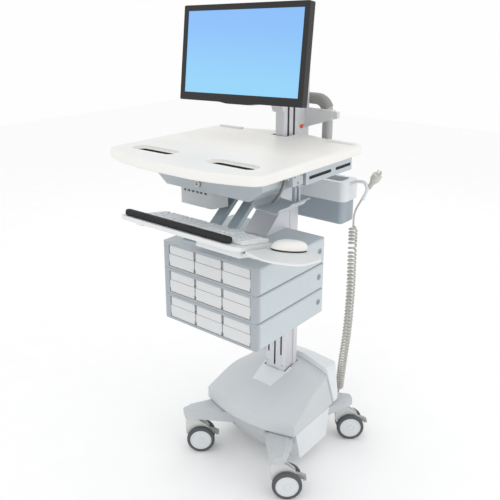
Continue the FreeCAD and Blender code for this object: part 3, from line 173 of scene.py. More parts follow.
def surface(name, colour, roughness=0.5, metallic=0.0, mottle=0.03, grain=0.12, grain_size=0.8,
            stretch=(1, 1, 1), coat=0.0, edge=0.8):
    """Procedural finish: faint broad mottling, fine grain in colour, gloss and relief, and softened edges.

    grain_size and edge are millimetres, stretch draws the grain out along an axis for brushed metal.
    """
    material = bpy.data.materials.new(name)
    material.use_nodes = True
    tree = material.node_tree
    shader = tree.nodes["Principled BSDF"]
    shader.inputs["Metallic"].default_value = metallic
    shader.inputs["Coat Weight"].default_value = coat
    shader.inputs["Coat Roughness"].default_value = 0.08
    base = [linear(channel) for channel in colour]
    coords = tree.nodes.new("ShaderNodeTexCoord")

    broad = tree.nodes.new("ShaderNodeTexNoise")
    broad.inputs["Scale"].default_value = 9.0
    broad.inputs["Detail"].default_value = 3.0
    tree.links.new(coords.outputs["Object"], broad.inputs["Vector"])

    mapping = tree.nodes.new("ShaderNodeMapping")
    mapping.inputs["Scale"].default_value = stretch
    tree.links.new(coords.outputs["Object"], mapping.inputs["Vector"])
    fine = tree.nodes.new("ShaderNodeTexNoise")
    fine.inputs["Scale"].default_value = 1000.0 / grain_size
    fine.inputs["Detail"].default_value = 2.0
    tree.links.new(mapping.outputs["Vector"], fine.inputs["Vector"])

    blend = tree.nodes.new("ShaderNodeMath")
    blend.operation = "MULTIPLY_ADD"
    blend.inputs[1].default_value = 0.35
    tree.links.new(fine.outputs["Fac"], blend.inputs[0])
    tree.links.new(broad.outputs["Fac"], blend.inputs[2])
    ramp = tree.nodes.new("ShaderNodeValToRGB")
    ramp.color_ramp.elements[0].position = 0.45
    ramp.color_ramp.elements[1].position = 0.90
    ramp.color_ramp.elements[0].color = [channel * (1 - mottle) for channel in base] + [1.0]
    ramp.color_ramp.elements[1].color = [min(channel * (1 + mottle), 1.0) for channel in base] + [1.0]
    tree.links.new(blend.outputs[0], ramp.inputs["Fac"])
    tree.links.new(ramp.outputs["Color"], shader.inputs["Base Color"])

    gloss = tree.nodes.new("ShaderNodeMapRange")
    gloss.inputs["To Min"].default_value = max(roughness - 0.06, 0.02)
    gloss.inputs["To Max"].default_value = min(roughness + 0.06, 1.0)
    tree.links.new(blend.outputs[0], gloss.inputs["Value"])
    tree.links.new(gloss.outputs["Result"], shader.inputs["Roughness"])

    bump = tree.nodes.new("ShaderNodeBump")
    bump.inputs["Strength"].default_value = grain
    bump.inputs["Distance"].default_value = 0.0003
    tree.links.new(fine.outputs["Fac"], bump.inputs["Height"])
    if edge > 0:
        soft = tree.nodes.new("ShaderNodeBevel")
        soft.samples = 3 if edge < 5 else 8
        soft.inputs["Radius"].default_value = edge / 1000
        tree.links.new(soft.outputs["Normal"], bump.inputs["Normal"])
    tree.links.new(bump.outputs["Normal"], shader.inputs["Normal"])
    return material


def screen_material():
    """Lit screen: an even blue that grows paler towards its foot, behind smooth glass."""
    material = surface("screen_glow", (20, 40, 60), roughness=0.16, mottle=0.02, grain=0.0, edge=0)
    tree = material.node_tree
    shader = tree.nodes["Principled BSDF"]
    low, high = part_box("screen_panel")
    coords = tree.nodes.new("ShaderNodeTexCoord")
    split = tree.nodes.new("ShaderNodeSeparateXYZ")
    tree.links.new(coords.outputs["Object"], split.inputs["Vector"])
    height = tree.nodes.new("ShaderNodeMapRange")
    height.inputs["From Min"].default_value = low[2]
    height.inputs["From Max"].default_value = high[2]
    tree.links.new(split.outputs["Z"], height.inputs["Value"])
    ramp = tree.nodes.new("ShaderNodeValToRGB")
    ramp.color_ramp.interpolation = "EASE"
    for stop, colour in zip(ramp.color_ramp.elements, ((150, 214, 250), (138, 190, 250))):
        stop.color = [linear(channel) for channel in colour] + [1.0]
    tree.links.new(height.outputs["Result"], ramp.inputs["Fac"])
    tree.links.new(ramp.outputs["Color"], shader.inputs["Emission Color"])
    shader.inputs["Emission Strength"].default_value = 0.92
    return material


def riser_slot_shade_material(silver):
    """Anodised riser with painted shade: its front is black below 700 mm, which shows as three black strips
    down the column's slots.
    """
    material = silver.copy()
    material.name = "riser_anodised_slot_shade"
    tree = material.node_tree
    shader = tree.nodes["Principled BSDF"]
    colour = shader.inputs["Base Color"].links[0].from_socket
    coords = tree.nodes.new("ShaderNodeTexCoord")
    split = tree.nodes.new("ShaderNodeSeparateXYZ")
    tree.links.new(coords.outputs["Object"], split.inputs["Vector"])

    def compare(socket, operation, value):
        """1 where the coordinate is below or above value."""
        test = tree.nodes.new("ShaderNodeMath")
        test.operation = operation
        test.inputs[1].default_value = value
        tree.links.new(socket, test.inputs[0])
        return test.outputs[0]

    def product(first, second):
        """Both masks at once."""
        both = tree.nodes.new("ShaderNodeMath")
        both.operation = "MULTIPLY"
        tree.links.new(first, both.inputs[0])
        tree.links.new(second, both.inputs[1])
        return both.outputs[0]

    front = compare(split.outputs["Y"], "LESS_THAN", at(0, COLUMN_FRONT + 5.5, 0).y)
    # painted shade: the front below 700 mm, seen only through the column's slots
    strips = product(front, compare(split.outputs["Z"], "LESS_THAN", at(0, 0, 700).z))
    mix = tree.nodes.new("ShaderNodeMix")
    mix.data_type = "RGBA"
    mix.inputs["B"].default_value = (0.012, 0.012, 0.014, 1)
    tree.links.new(strips, mix.inputs["Factor"])
    tree.links.new(colour, mix.inputs["A"])
    tree.links.new(mix.outputs["Result"], shader.inputs["Base Color"])
    return material


def front_shade_material(base, name, front_shade_tint):
    """Copy of a finish with painted shade: its front faces, and the corners that turn towards them, are
    darkened by a tint.
    """
    material = base.copy()
    material.name = name
    tree = material.node_tree
    shader = tree.nodes["Principled BSDF"]
    colour = shader.inputs["Base Color"].links[0].from_socket
    coords = tree.nodes.new("ShaderNodeTexCoord")
    split = tree.nodes.new("ShaderNodeSeparateXYZ")
    tree.links.new(coords.outputs["Normal"], split.inputs["Vector"])
    # painted shade: the more a face turns to the front, the more of the darker tint it gets
    turn = tree.nodes.new("ShaderNodeMapRange")
    turn.interpolation_type = "SMOOTHSTEP"
    turn.inputs["From Min"].default_value = -0.15
    turn.inputs["From Max"].default_value = -0.8
    tree.links.new(split.outputs["Y"], turn.inputs["Value"])
    mix = tree.nodes.new("ShaderNodeMix")
    mix.data_type = "RGBA"
    mix.inputs["B"].default_value = [linear(channel) for channel in front_shade_tint] + [1.0]
    tree.links.new(turn.outputs["Result"], mix.inputs["Factor"])
    tree.links.new(colour, mix.inputs["A"])
    tree.links.new(mix.outputs["Result"], shader.inputs["Base Color"])
    return material


# ---------------------------------------------------------------- mesh making
def across(axis):
    """Two unit vectors square to axis and to each other."""
    axis = axis.normalized()
    helper = X if abs(axis.x) < 0.8 else Y
    first = (helper - axis * helper.dot(axis)).normalized()
    return first, axis.cross(first)


def circle(centre, axis, radius, count):
    """Points round a circle square to axis; radius is in millimetres."""
    first, second = across(axis)
    turns = [2 * math.pi * index / count for index in range(count)]
    return [centre + (first * math.cos(turn) + second * math.sin(turn)) * radius / 1000 for turn in turns]


def rounded_rectangle(a0, a1, b0, b1, radius, steps=4):
    """Outline of (a, b) points with round corners, counter-clockwise."""
    points = []
    corners = ((a1 - radius, b0 + radius, -90), (a1 - radius, b1 - radius, 0),
               (a0 + radius, b1 - radius, 90), (a0 + radius, b0 + radius, 180))
    for a, b, start in corners:
        for step in range(steps + 1):
            turn = math.radians(start + 90 * step / steps)
            points.append((a + radius * math.cos(turn), b + radius * math.sin(turn)))
    return points


class Shape:
    """Mesh under construction, in the frame's metres."""

    def __init__(self):
        self.points = []
        self.faces = []

    def loft(self, rings, closed=False):
        """Skin over rings of equal length; closed joins the last ring to the first, and no caps are made."""
        count = len(rings[0])
        start = len(self.points)
        for ring in rings:
            self.points += ring
        spans = len(rings) if closed else len(rings) - 1
        for row in range(spans):
            low = start + row * count
            high = start + (row + 1) % len(rings) * count
            for index in range(count):
                after = (index + 1) % count
                self.faces.append((low + index, low + after, high + after, high + index))
        if not closed:
            self.faces.append(tuple(start + index for index in reversed(range(count))))
            last = start + (len(rings) - 1) * count
            self.faces.append(tuple(last + index for index in range(count)))
        return self

    def lathe(self, centre, axis, profile, count=40, closed=False):
        """Turned shape from (radius, distance along axis) pairs in millimetres."""
        axis = axis.normalized()
        rings = [circle(centre + axis * along / 1000, axis, radius, count) for radius, along in profile]
        return self.loft(rings, closed=closed)

    def prism(self, outline, direction):
        """Outline of points pushed along a direction in metres."""
        return self.loft([list(outline), [point + direction for point in outline]])

    def block(self, x0, x1, y0, y1, z0, z1):
        """Box between two layout corners."""
        outline = [at(x0, y0, z0), at(x1, y0, z0), at(x1, y1, z0), at(x0, y1, z0)]
        return self.prism(outline, Vector((0, 0, (z1 - z0) / 1000)))

    def piece(self, name, body, material, slot, bevel=0.0, segments=2, subdivide=0, replaces=()):
        """Object from the mesh, riding on a body; bevel is in millimetres."""
        mesh = bpy.data.meshes.new(name)
        mesh.from_pydata([tuple(point) for point in self.points], [], self.faces)
        mesh.validate()
        mesh.materials.append(material)
        mesh.shade_smooth()
        mesh.set_sharp_from_angle(angle=math.radians(35))
        piece = bpy.data.objects.new(name, mesh)
        bpy.context.collection.objects.link(piece)
        if bevel:
            edge = piece.modifiers.new("edges", "BEVEL")
            edge.width = bevel / 1000
            edge.segments = segments
            edge.limit_method = "ANGLE"
            edge.angle_limit = math.radians(35)
            edge.harden_normals = True
        if subdivide:
            smooth = piece.modifiers.new("smooth", "SUBSURF")
            smooth.levels = subdivide
            smooth.render_levels = subdivide
        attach(piece, body)
        if replaces:
            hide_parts(*replaces)
        return piece


def dress(material, *names):
    """Give CAD nodes a finish."""
    for name in names:
        mesh_object = nodes[name]
        if not mesh_object.material_slots:
            mesh_object.data.materials.append(material)
        for slot in mesh_object.material_slots:
            slot.material = material


def fasteners(name, body, heads, material, radius=4.0, height=2.2):
    """Socket-head screws: one turned head with a recess at each (point, axis)."""
    shape = Shape()
    profile = [(radius, 0), (radius, height * 0.6), (radius * 0.86, height), (radius * 0.5, height),
               (radius * 0.45, height * 0.35), (radius * 0.02, height * 0.3)]
    for point, axis in heads:
        shape.lathe(point, axis, profile, count=18)
    return shape.piece(name, body, material, "lock_nickel")


# ---------------------------------------------------------------- power cord
def spline_points(points, resolution):
    """Points along a NURBS spline of order 3 through those control points."""
    curve = cord_curve("cord_route", points, resolution)
    mesh = bpy.data.meshes.new_from_object(curve)
    line = [vertex.co.copy() for vertex in mesh.vertices]
    bpy.data.meshes.remove(mesh)
    bpy.data.objects.remove(curve)
    return line


def cord_curve(name, points, resolution):
    """Curve object of one open NURBS spline."""
    data = bpy.data.curves.new(name, "CURVE")
    data.dimensions = "3D"
    data.resolution_u = resolution
    spline = data.splines.new("NURBS")
    spline.points.add(len(points) - 1)
    for point, place in zip(spline.points, points):
        point.co = (*place, 1.0)
    spline.order_u = 3
    spline.use_endpoint_u = True
    curve = bpy.data.objects.new(name, data)
    bpy.context.collection.objects.link(curve)
    return curve


def coil_pitch(share):
    """Spacing of the coil's turns at that share of its height."""
    for (low, near), (high, far) in zip(PITCHES, PITCHES[1:]):
        if share <= high:
            return near + (far - near) * (share - low) / (high - low)
    return PITCHES[-1][1]


def coil_points(line):
    """The route with a helix wound round its upright part, a few points for each turn."""
    foot, top = COIL_FOOT / 1000, COIL_TOP / 1000
    helix = (COIL_DIAMETER - CORD_DIAMETER) / 2000
    turn = 0.0
    points = []
    for index in range(len(line) - 1):
        here, ahead = line[index], line[index + 1]
        along = ahead - here
        if here.z < foot or here.z > top:
            points.append(here)
            continue
        first, second = across(along)
        pitch = coil_pitch((here.z - foot) / (top - foot)) / 1000
        steps = max(1, round(TURN_POINTS * along.length / pitch))
        for step in range(steps):
            place = here + along * step / steps
            reach = min(1.0, (place.z - foot) / COIL_RAMP, (top - place.z) / COIL_RAMP)
            reach = max(reach, 0.0)
            turn += 2 * math.pi * along.length / steps / pitch
            points.append(place + (first * math.cos(turn) + second * math.sin(turn)) * helix * reach)
    points.append(line[-1])
    return points


def power_cord(material, plug_material):
    """Curly cord from the gland in the rear cover, up to the plug on the bin's hook."""
    route = [at(*point) for point in CORD_ROUTE]
    line = spline_points(route, 12)
    wound = cord_curve("power_cord_line", coil_points(line), 2)
    path = [vertex.co.copy() for vertex in bpy.data.meshes.new_from_object(wound).vertices]
    wound.data.bevel_depth = CORD_DIAMETER / 2000
    wound.data.bevel_resolution = 2
    wound.data.use_fill_caps = True
    mesh = bpy.data.meshes.new_from_object(wound)
    bpy.data.objects.remove(wound)
    mesh.materials.clear()
    mesh.materials.append(material)
    mesh.shade_smooth()
    cord = bpy.data.objects.new("power_cord", mesh)
    bpy.context.collection.objects.link(cord)
    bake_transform(cord)
    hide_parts("cord_foot_lead", "cord_coil", "cord_top_lead")
    gland = strain_relief(material)
    dress(plug_material, "power_plug")


def strain_relief(material):
    """Tapered, ribbed sleeve under the rear cover's floor."""
    profile = [(12, 27), (12, 24.5), (9.5, 24), (9.5, 21)]
    for rib in range(5):
        top = 20.5 - 4.0 * rib
        radius = 9.0 - 0.9 * rib
        profile += [(radius, top), (radius, top - 2.4), (radius - 1.6, top - 2.6), (radius - 1.6, top - 3.8)]
    profile += [(4.4, 0.2), (3.6, 0)]
    return Shape().lathe(at(*CORD_ROUTE[0]), Z, profile, count=28).piece(
        "strain_relief", "base", material, "cord_beige", replaces=("cord_gland",))


# ---------------------------------------------------------------- casters
def caster_wheels(name, tyre_material, hub_material):
    """Twin wheels: tyres with rounded shoulders, dished hub discs and the axle's caps."""
    x, y = CASTERS[name]
    trail = Vector((math.cos(CASTER_HEADING), math.sin(CASTER_HEADING), 0))
    axis = Vector((-math.sin(CASTER_HEADING), math.cos(CASTER_HEADING), 0))
    centre = at(x, y, WHEEL_RADIUS) + trail * CASTER_TRAIL / 1000
    tyres, hubs = Shape(), Shape()
    radius, width, rim = WHEEL_RADIUS, WHEEL_WIDTH, 38.5
    tyre_profile = [(rim, 0.8), (rim + 3, 0), (radius - 5, 0.3), (radius - 2, 1.8), (radius - 0.4, 4.6),
                    (radius, width / 2), (radius - 0.4, width - 4.6), (radius - 2, width - 1.8),
                    (radius - 5, width - 0.3), (rim + 3, width), (rim, width - 0.8)]
    hub_profile = [(5, 2.5), (12, 2.5), (30, 3.4), (33, 1.6), (rim - 0.2, 1.2), (rim - 0.2, width - 1.6),
                   (35.2, width - 0.8), (34.4, width - 2.0), (31, width - 2.6), (14, width - 1.4),
                   (12.5, width - 2.6), (11.0, width - 2.6), (9.5, width - 0.9), (5, width - 0.6)]
    for side in (-1, 1):
        out = axis * side
        start = centre + out * (CASTER_WIDTH / 2 - width) / 1000
        tyres.lathe(start, out, tyre_profile, count=64, closed=True)
        hubs.lathe(start, out, hub_profile, count=56)
    hubs.lathe(centre - axis * 0.0145, axis, [(5, 0), (5, 29)], count=20)
    tyres.piece(f"tyres_{name}", f"wheels_{name}", tyre_material, "tyre_grey",
                replaces=(f"caster_wheels_{name}",))
    hubs.piece(f"hubs_{name}", f"wheels_{name}", hub_material, "pedal_grey")


# ---------------------------------------------------------------- drawers
def drawer(row, column, material):
    """Tray whose front has a proud lower half and a narrower upper half above a crease."""
    low = STACK_BOTTOM + row * UNIT_PITCH + DRAWER_LIFT
    middle = (column - 1) * DRAWER_PITCH
    front = STACK_FRONT + 1.5
    half = DRAWER_WIDTH / 2
    shape = Shape()
    crease = 39.0
    notch = 2.6
    lower = [(-half + notch, 0), (half - notch, 0), (half - notch, 11), (half, 12), (half, crease),
             (-half, crease), (-half, 12), (-half + notch, 11)]
    shape.prism([at(middle + a, front, low + b) for a, b in lower], Y * 0.008)
    upper_half = half - 2.8
    upper = rounded_rectangle(middle - upper_half, middle + upper_half, low + crease + 0.9,
                              low + DRAWER_HEIGHT, 1.2, steps=2)
    shape.prism([at(a, front + 1.2, b) for a, b in upper], Y * 0.0068)
    shape.block(middle - upper_half, middle + upper_half, front + 3, front + 8,
                low + crease - 4, low + crease + 6)
    tray_half = half - 1.0
    back = front + DRAWER_DEPTH
    top = low + DRAWER_HEIGHT - 8
    wall = 2.0
    shape.block(middle - tray_half, middle + tray_half, front + 8, back, low + 1, low + 3)
    for side in (-1, 1):
        edge = sorted((side * tray_half, side * (tray_half - wall)))
        shape.block(middle + edge[0], middle + edge[1], front + 8, back, low + 3, top)
    shape.block(middle - tray_half + wall, middle + tray_half - wall, back - wall, back, low + 3, top)
    shape.piece(f"drawer_tray_{row + 1}_{column + 1}", f"drawer_{row + 1}_{column + 1}", material,
                "drawer_front", bevel=0.7, replaces=(f"drawer_{row + 1}_{column + 1}",))


def unit_trim(row, plug_material):
    """Round plugs in the unit's sides."""
    low = STACK_BOTTOM + row * UNIT_PITCH + DRAWER_LIFT
    plugs = Shape()
    profile = [(9.4, 0), (9.4, 1.2), (8.6, 2.0), (7.4, 1.4), (7.0, 0.3), (3.0, 0.3), (2.6, 1.4), (0.1, 1.5)]
    for side in (-1, 1):
        plugs.lathe(at(side * (STACK_HALF - 0.2), STACK_BACK - 34, low + 40), X * side, profile, count=30)
    plugs.piece(f"side_plugs_{row + 1}", "lift_head", plug_material, "drawer_shell")


# ---------------------------------------------------------------- keyboard, palm rest and mouse
KEY_ROWS = (
    (1.0, 0.6, 1, 1, 1, 1, 0.3, 1, 1, 1, 1, 0.3, 1, 1, 1, 1.4),
    (1, 1, 1, 1, 1, 1, 1, 1, 1, 1, 1, 1, 1, 2),
    (1.5, 1, 1, 1, 1, 1, 1, 1, 1, 1, 1, 1, 1, 1.5),
    (1.8, 1, 1, 1, 1, 1, 1, 1, 1, 1, 1, 1, 2.2),
    (2.3, 1, 1, 1, 1, 1, 1, 1, 1, 1, 1, 2.7),
    (1.4, 1.2, 1.4, 6, 1.4, 1.2, 1, 1.4),
)
GAPS = (0.3, 0.6)               # entries of a row that are spaces, not keys


def keycap(shape, x0, x1, y0, y1, z):
    """Keycap with sloping sides and a slightly dished top."""
    foot = [on_tray(x0, y0, z), on_tray(x1, y0, z), on_tray(x1, y1, z), on_tray(x0, y1, z)]
    inset = 1.4
    high = z + 4.4
    top = [on_tray(x0 + inset, y0 + inset, high), on_tray(x1 - inset, y0 + inset, high),
           on_tray(x1 - inset, y1 - inset * 0.7, high + 0.5),
           on_tray(x0 + inset, y1 - inset * 0.7, high + 0.5)]
    shape.loft([foot, top])


def keyboard(body_material, key_material):
    """Wedge body with staggered rows of caps, a cursor block and a number pad."""
    left, right, front, back = -188.0, 214.0, -386.0, -268.0
    wedge = Shape()
    side = [(front, TRAY_TOP + 0.4), (back, TRAY_TOP + 0.4), (back, TRAY_TOP + 12), (front, TRAY_TOP + 7)]
    wedge.prism([on_tray(left, y, z) for y, z in side], X * (right - left) / 1000)
    wedge.piece("keyboard_body", "keyboard_tray", body_material, "key_white", bevel=2.0, segments=3,
                replaces=("keyboard",))
    caps = Shape()
    unit = 17.5
    for row, widths in enumerate(reversed(KEY_ROWS)):
        y = -381.5 + 18.4 * row
        z = TRAY_TOP + 6.9 + 0.78 * row
        x = -184.0
        for width in widths:
            if width not in GAPS:
                keycap(caps, x + 0.8, x + width * unit - 0.8, y + 0.8, y + 17.2, z)
            x += width * unit
        for column in range(3):
            lone = row == 1 and column != 1
            if not lone and row != 2:
                start = 83 + 16.9 * column
                keycap(caps, start + 0.8, start + 16.1, y + 0.8, y + 17.2, z)
        for column in range(4):
            start = 138 + 17.9 * column
            if row < 5:
                keycap(caps, start + 0.8, start + 17.1, y + 0.8, y + 17.2, z)
    caps.piece("keycaps", "keyboard_tray", key_material, "key_white", bevel=0.5)


def palm_rest(material):
    """Soft bar with a crowned top that dips a little between its ends."""
    left, right = -219.0, 186.0
    rings = []
    stations = [0.0, 0.004, 0.012, 0.03] + [0.05 * step for step in range(1, 20)] + [0.97, 0.988, 0.996, 1.0]
    for share in stations:
        x = left + (right - left) * share
        near_end = min(share, 1 - share) * (right - left)
        swell = 0.62 + 0.38 * math.sqrt(min(1.0, near_end / 5.0))
        sag = 0.8 * math.sin(math.pi * share) + 0.25 * math.sin(9 * math.pi * share)
        ring = []
        for step in range(20):
            turn = 2 * math.pi * step / 20
            across_y = math.copysign(abs(math.cos(turn)) ** 0.55, math.cos(turn))
            upward = math.copysign(abs(math.sin(turn)) ** 0.6, math.sin(turn))
            y = -403.6 + 12.8 * across_y * swell
            z = TRAY_TOP + 9.2 + (11.0 if upward > 0 else 8.8) * upward * swell - (sag if upward > 0 else 0)
            ring.append(on_tray(x, y, z))
        rings.append(ring)
    pad = Shape().loft(rings).piece("palm_pad", "keyboard_tray", material, "palm_black", subdivide=1,
                                    replaces=("palm_rest",))


def mouse(shell_material, dark_material):
    """Arched mouse with a dark skirt and a wheel between its buttons."""
    centre_x, centre_y = 281.0, -263.0
    heading = math.radians(26.0)
    half_width, half_length = 30.5, 56.0

    def point(across_x, along, height):
        """Point from the mouse's centre: to its right, towards its front edge, above the mouse tray."""
        x = centre_x + across_x * math.cos(heading) + along * math.sin(heading)
        y = centre_y - across_x * math.sin(heading) + along * math.cos(heading)
        return on_tray(x, y, MOUSE_TRAY_TOP + height)

    def ring(height, scale, shift):
        """Egg-shaped outline at that height."""
        points = []
        for step in range(40):
            turn = 2 * math.pi * step / 40
            wide = half_width * math.cos(turn) * (1 - 0.08 * math.sin(turn))
            points.append(point(wide * scale, half_length * math.sin(turn) * scale + shift, height))
        return points

    skirt = Shape().loft([ring(0.4, 0.95, 0), ring(2.4, 0.985, 0), ring(3.4, 0.97, 0)])
    skirt.piece("mouse_skirt", "mouse_tray", dark_material, "key_white", replaces=("mouse",))
    rings = [ring(3.4, 0.965, 0)]
    for step in range(9):
        turn = math.radians(10 * step)
        rings.append(ring(4.4 + 25.0 * math.sin(turn) ** 0.9, math.cos(turn) ** 0.62, 5.0 * math.sin(turn)))
    rings.append(ring(29.6, 0.10, 5.0))
    Shape().loft(rings).piece("mouse_shell", "mouse_tray", shell_material, "key_white", subdivide=1)
    wheel_middle = point(0, -30, 20.0)
    aside = (point(1, 0, 0) - point(0, 0, 0)).normalized()
    wheel_profile = [(4.6, 0), (5.4, 1), (5.4, 5), (4.6, 6)]
    Shape().lathe(wheel_middle - aside * 0.003, aside, wheel_profile, count=24).piece(
        "mouse_wheel", "mouse_tray", dark_material, "key_white")


# ---------------------------------------------------------------- display and mast
def display_point(x, depth, height):
    """Point on the display: x and height from the screen's centre, depth behind its face."""
    centre = at(-2, -129, 1418)
    lean = math.radians(8.3)
    roll = math.radians(-1.7)
    right = Vector((math.cos(roll), 0, -math.sin(roll)))
    up = Vector((math.sin(roll), 0, math.cos(roll)))
    turned = right * x + up * height + Y * depth
    y = turned.y * math.cos(lean) + turned.z * math.sin(lean)
    z = -turned.y * math.sin(lean) + turned.z * math.cos(lean)
    return centre + Vector((turned.x, y, z)) / 1000


def display_trim(dark_material):
    """Slots in the display's back and buttons along its foot."""
    vents = Shape()
    for side in (-1, 1):
        for index in range(14):
            x = side * (172 + 3.4 * index)
            outline = [display_point(x - 0.8, 22.2, 60), display_point(x + 0.8, 22.2, 60),
                       display_point(x + 0.8, 22.2, -60), display_point(x - 0.8, 22.2, -60)]
            vents.prism(outline, display_point(0, 22.8, 0) - display_point(0, 22.2, 0))
    vents.piece("display_vents", "display", dark_material, "bezel_black")
    buttons = Shape()
    for index in range(5):
        x = 150 + 13 * index
        outline = [display_point(x - 4, -2.6, -133), display_point(x + 4, -2.6, -133),
                   display_point(x + 4, -2.6, -135.5), display_point(x - 4, -2.6, -135.5)]
        buttons.prism(outline, display_point(0, 0, 0) - display_point(0, -1.5, 0))
    buttons.piece("display_buttons", "display", dark_material, "bezel_black", bevel=0.3)


def mast_trim(groove_material, cap_material, clip_material):
    """Black liners in the mast's tracks, a cap on its top and a small orange latch low on its side."""
    liners = Shape()
    for side in (-1, 1):
        for low, high in TRACKS:
            edge = sorted((side * 13.3, side * 17.4))
            liners.block(edge[0], edge[1], low + 0.2, high - 0.2, 1101, 1498)
    liners.piece("mast_liners", "lift_head", groove_material, "bezel_black")
    cap = Shape()
    outline = rounded_rectangle(-17.6, 17.6, 69.4, 213.6, 4)
    cap.prism([at(x, y, 1497.4) for x, y in outline], Z * 0.0026)
    cap.piece("mast_cap", "lift_head", cap_material, "drawer_shell", bevel=0.8)
    latch = Shape()
    latch.block(18.2, 21.4, 158, 177, 1162, 1170)
    latch.block(18.2, 23.4, 163, 172, 1158, 1163)
    latch.piece("mast_latch", "lift_head", clip_material, "drawer_shell", bevel=0.8)


def rear_handle(tube_material, grip_material):
    """Push handle: oval tube with a thicker soft grip over its top bar."""
    half, plane, foot_z, top_z = 75.0, 240.0, 1076.0, 1250.0
    bend = 44.0
    path = [(half, 66, foot_z), (half, plane - 36, foot_z)]
    for step in range(1, 7):
        turn = math.radians(15 * step)
        path.append((half, plane - 36 + 36 * math.sin(turn), foot_z + 36 - 36 * math.cos(turn)))
    corner = (half - bend, top_z - bend)
    path.append((half, plane, corner[1] - 40))
    for step in range(0, 10):
        turn = math.radians(10 * step)
        path.append((corner[0] + bend * math.cos(turn), plane, corner[1] + bend * math.sin(turn)))
    right_half = [at(*point) for point in path]
    left_half = [at(-x, y, z) for x, y, z in reversed(path)]
    line = right_half + left_half

    def tube(points, wide, deep):
        """Rounded-rectangle section carried along the points; wide lies in the loop's plane."""
        rings = []
        for index, place in enumerate(points):
            before = points[max(index - 1, 0)]
            after = points[min(index + 1, len(points) - 1)]
            along = (after - before).normalized()
            depth = (Y * abs(along.dot(Z)) + Y * abs(along.dot(X)) + Z * along.dot(Y)).normalized()
            depth = (depth - along * depth.dot(along)).normalized()
            aside = along.cross(depth)
            section = rounded_rectangle(-wide, wide, -deep, deep, min(wide, deep) * 0.72, steps=5)
            rings.append([place + (aside * a + depth * b) / 1000 for a, b in section])
        return rings

    Shape().loft(tube(line, 15.0, 17.0)).piece("handle_tube", "lift_head", tube_material, "handle_grey",
                                               replaces=("rear_handle",))
    start = next(index for index, place in enumerate(line) if place.z > at(0, 0, corner[1] + 8).z)
    grip = line[start:len(line) - start]
    Shape().loft(tube(grip, 18.6, 19.2)).piece("handle_grip", "lift_head", grip_material, "handle_grey",
                                               bevel=1.5)


def lift_lever(material, bracket_material):
    """Slim curved lever with a flared end, and screws on the bracket that its pin sits in."""
    path = [(-199, 1096), (-204, 1082), (-213, 1066), (-225, 1052), (-239, 1041), (-252, 1034), (-259, 1031)]
    widths = [6.5, 5.5, 5.0, 5.0, 5.6, 7.0, 7.6]
    thick = [4.5, 4.0, 3.2, 2.8, 2.4, 2.0, 1.6]
    rings = []
    for index, (y, z) in enumerate(path):
        low = path[max(index - 1, 0)]
        high = path[min(index + 1, len(path) - 1)]
        along = Vector((0, high[0] - low[0], high[1] - low[1])).normalized()
        depth = along.cross(X)
        section = rounded_rectangle(-widths[index], widths[index], -thick[index], thick[index],
                                    thick[index] * 0.8, steps=3)
        rings.append([at(218, y, z) + (X * a + depth * b) / 1000 for a, b in section])
    Shape().loft(rings).piece("lever_blade", "lift_lever", material, "lever_dark", subdivide=1,
                              replaces=("lift_lever",))
    heads = [(at(236, y, z), X) for y, z in ((-182, 1092), (-148, 1092), (-165, 1072))]
    fasteners("bracket_screws", "lift_head", heads, bracket_material, radius=3.6, height=2.0)


# ---------------------------------------------------------------- base, worksurface and rails
def base_trim(plate_material, dark_material, screw_material):
    """Pale plate round the column's foot, slots in the rear cover and screws on the column."""
    hood = nodes["base_hood"]
    tree = BVHTree.FromObject(hood, bpy.context.evaluated_depsgraph_get())
    rim_half, rim_front = 47.6, 60.6            # edges of the column's hole in the hood
    front, middle, back = -16.0, 61.7, 92.0     # depths of the plate
    front_half, back_half = 41, 58              # its half width at the first and last
    inner = 46.3                                # inner side of its two wings beside the column
    divisions = 14
    plate = Shape()

    def on_hood(x, y, lift):
        """Point lift millimetres above the hood's top, or above the rim where the column's hole is."""
        over_rim = (x, y)
        if abs(x) < rim_half:
            over_rim = (x, min(y, rim_front))
        if y > rim_front:
            over_rim = (math.copysign(max(abs(x), rim_half), x), y)
        start = hood.matrix_world.inverted() @ at(*over_rim, 400)
        found = tree.ray_cast(start, -Z)[0]
        height = (hood.matrix_world @ found).z if found else at(x, y, 290).z
        return Vector((at(x, y, 0).x, at(x, y, 0).y, height + lift / 1000))

    def plate_part(y_front, y_back, edges):
        """Patch of the plate between two depths; edges gives its two sides from the plate's half width."""
        rings = []
        for row in range(divisions + 1):
            y = y_front + (y_back - y_front) * row / divisions
            half = front_half + (back_half - front_half) * (y - front) / (back - front)
            low_x, high_x = edges(half)
            xs = [low_x + (high_x - low_x) * step / divisions for step in range(divisions + 1)]
            top = [on_hood(x, y, 1.3) for x in xs]
            low = [on_hood(x, y, -0.6) for x in reversed(xs)]
            rings.append(top + low)
        plate.loft(rings)

    plate_part(front, middle, lambda half: (-half, half))
    plate_part(middle, back, lambda half: (-half, -inner))
    plate_part(middle, back, lambda half: (inner, half))
    plate.piece("column_plate", "base", plate_material, "shell_white")
    louvres = Shape()
    for index in range(7):
        z = 200 + 9 * index
        louvres.block(-70, 20, 257.4, 258.4, z, z + 3.6)
    louvres.piece("rear_louvres", "base", dark_material, "battery_black", bevel=0.4)
    heads = [(at(side * 33, COLUMN_FRONT, 312), -Y) for side in (-1, 1)]
    fasteners("column_screws", "base", heads, screw_material, radius=2.6, height=1.2)


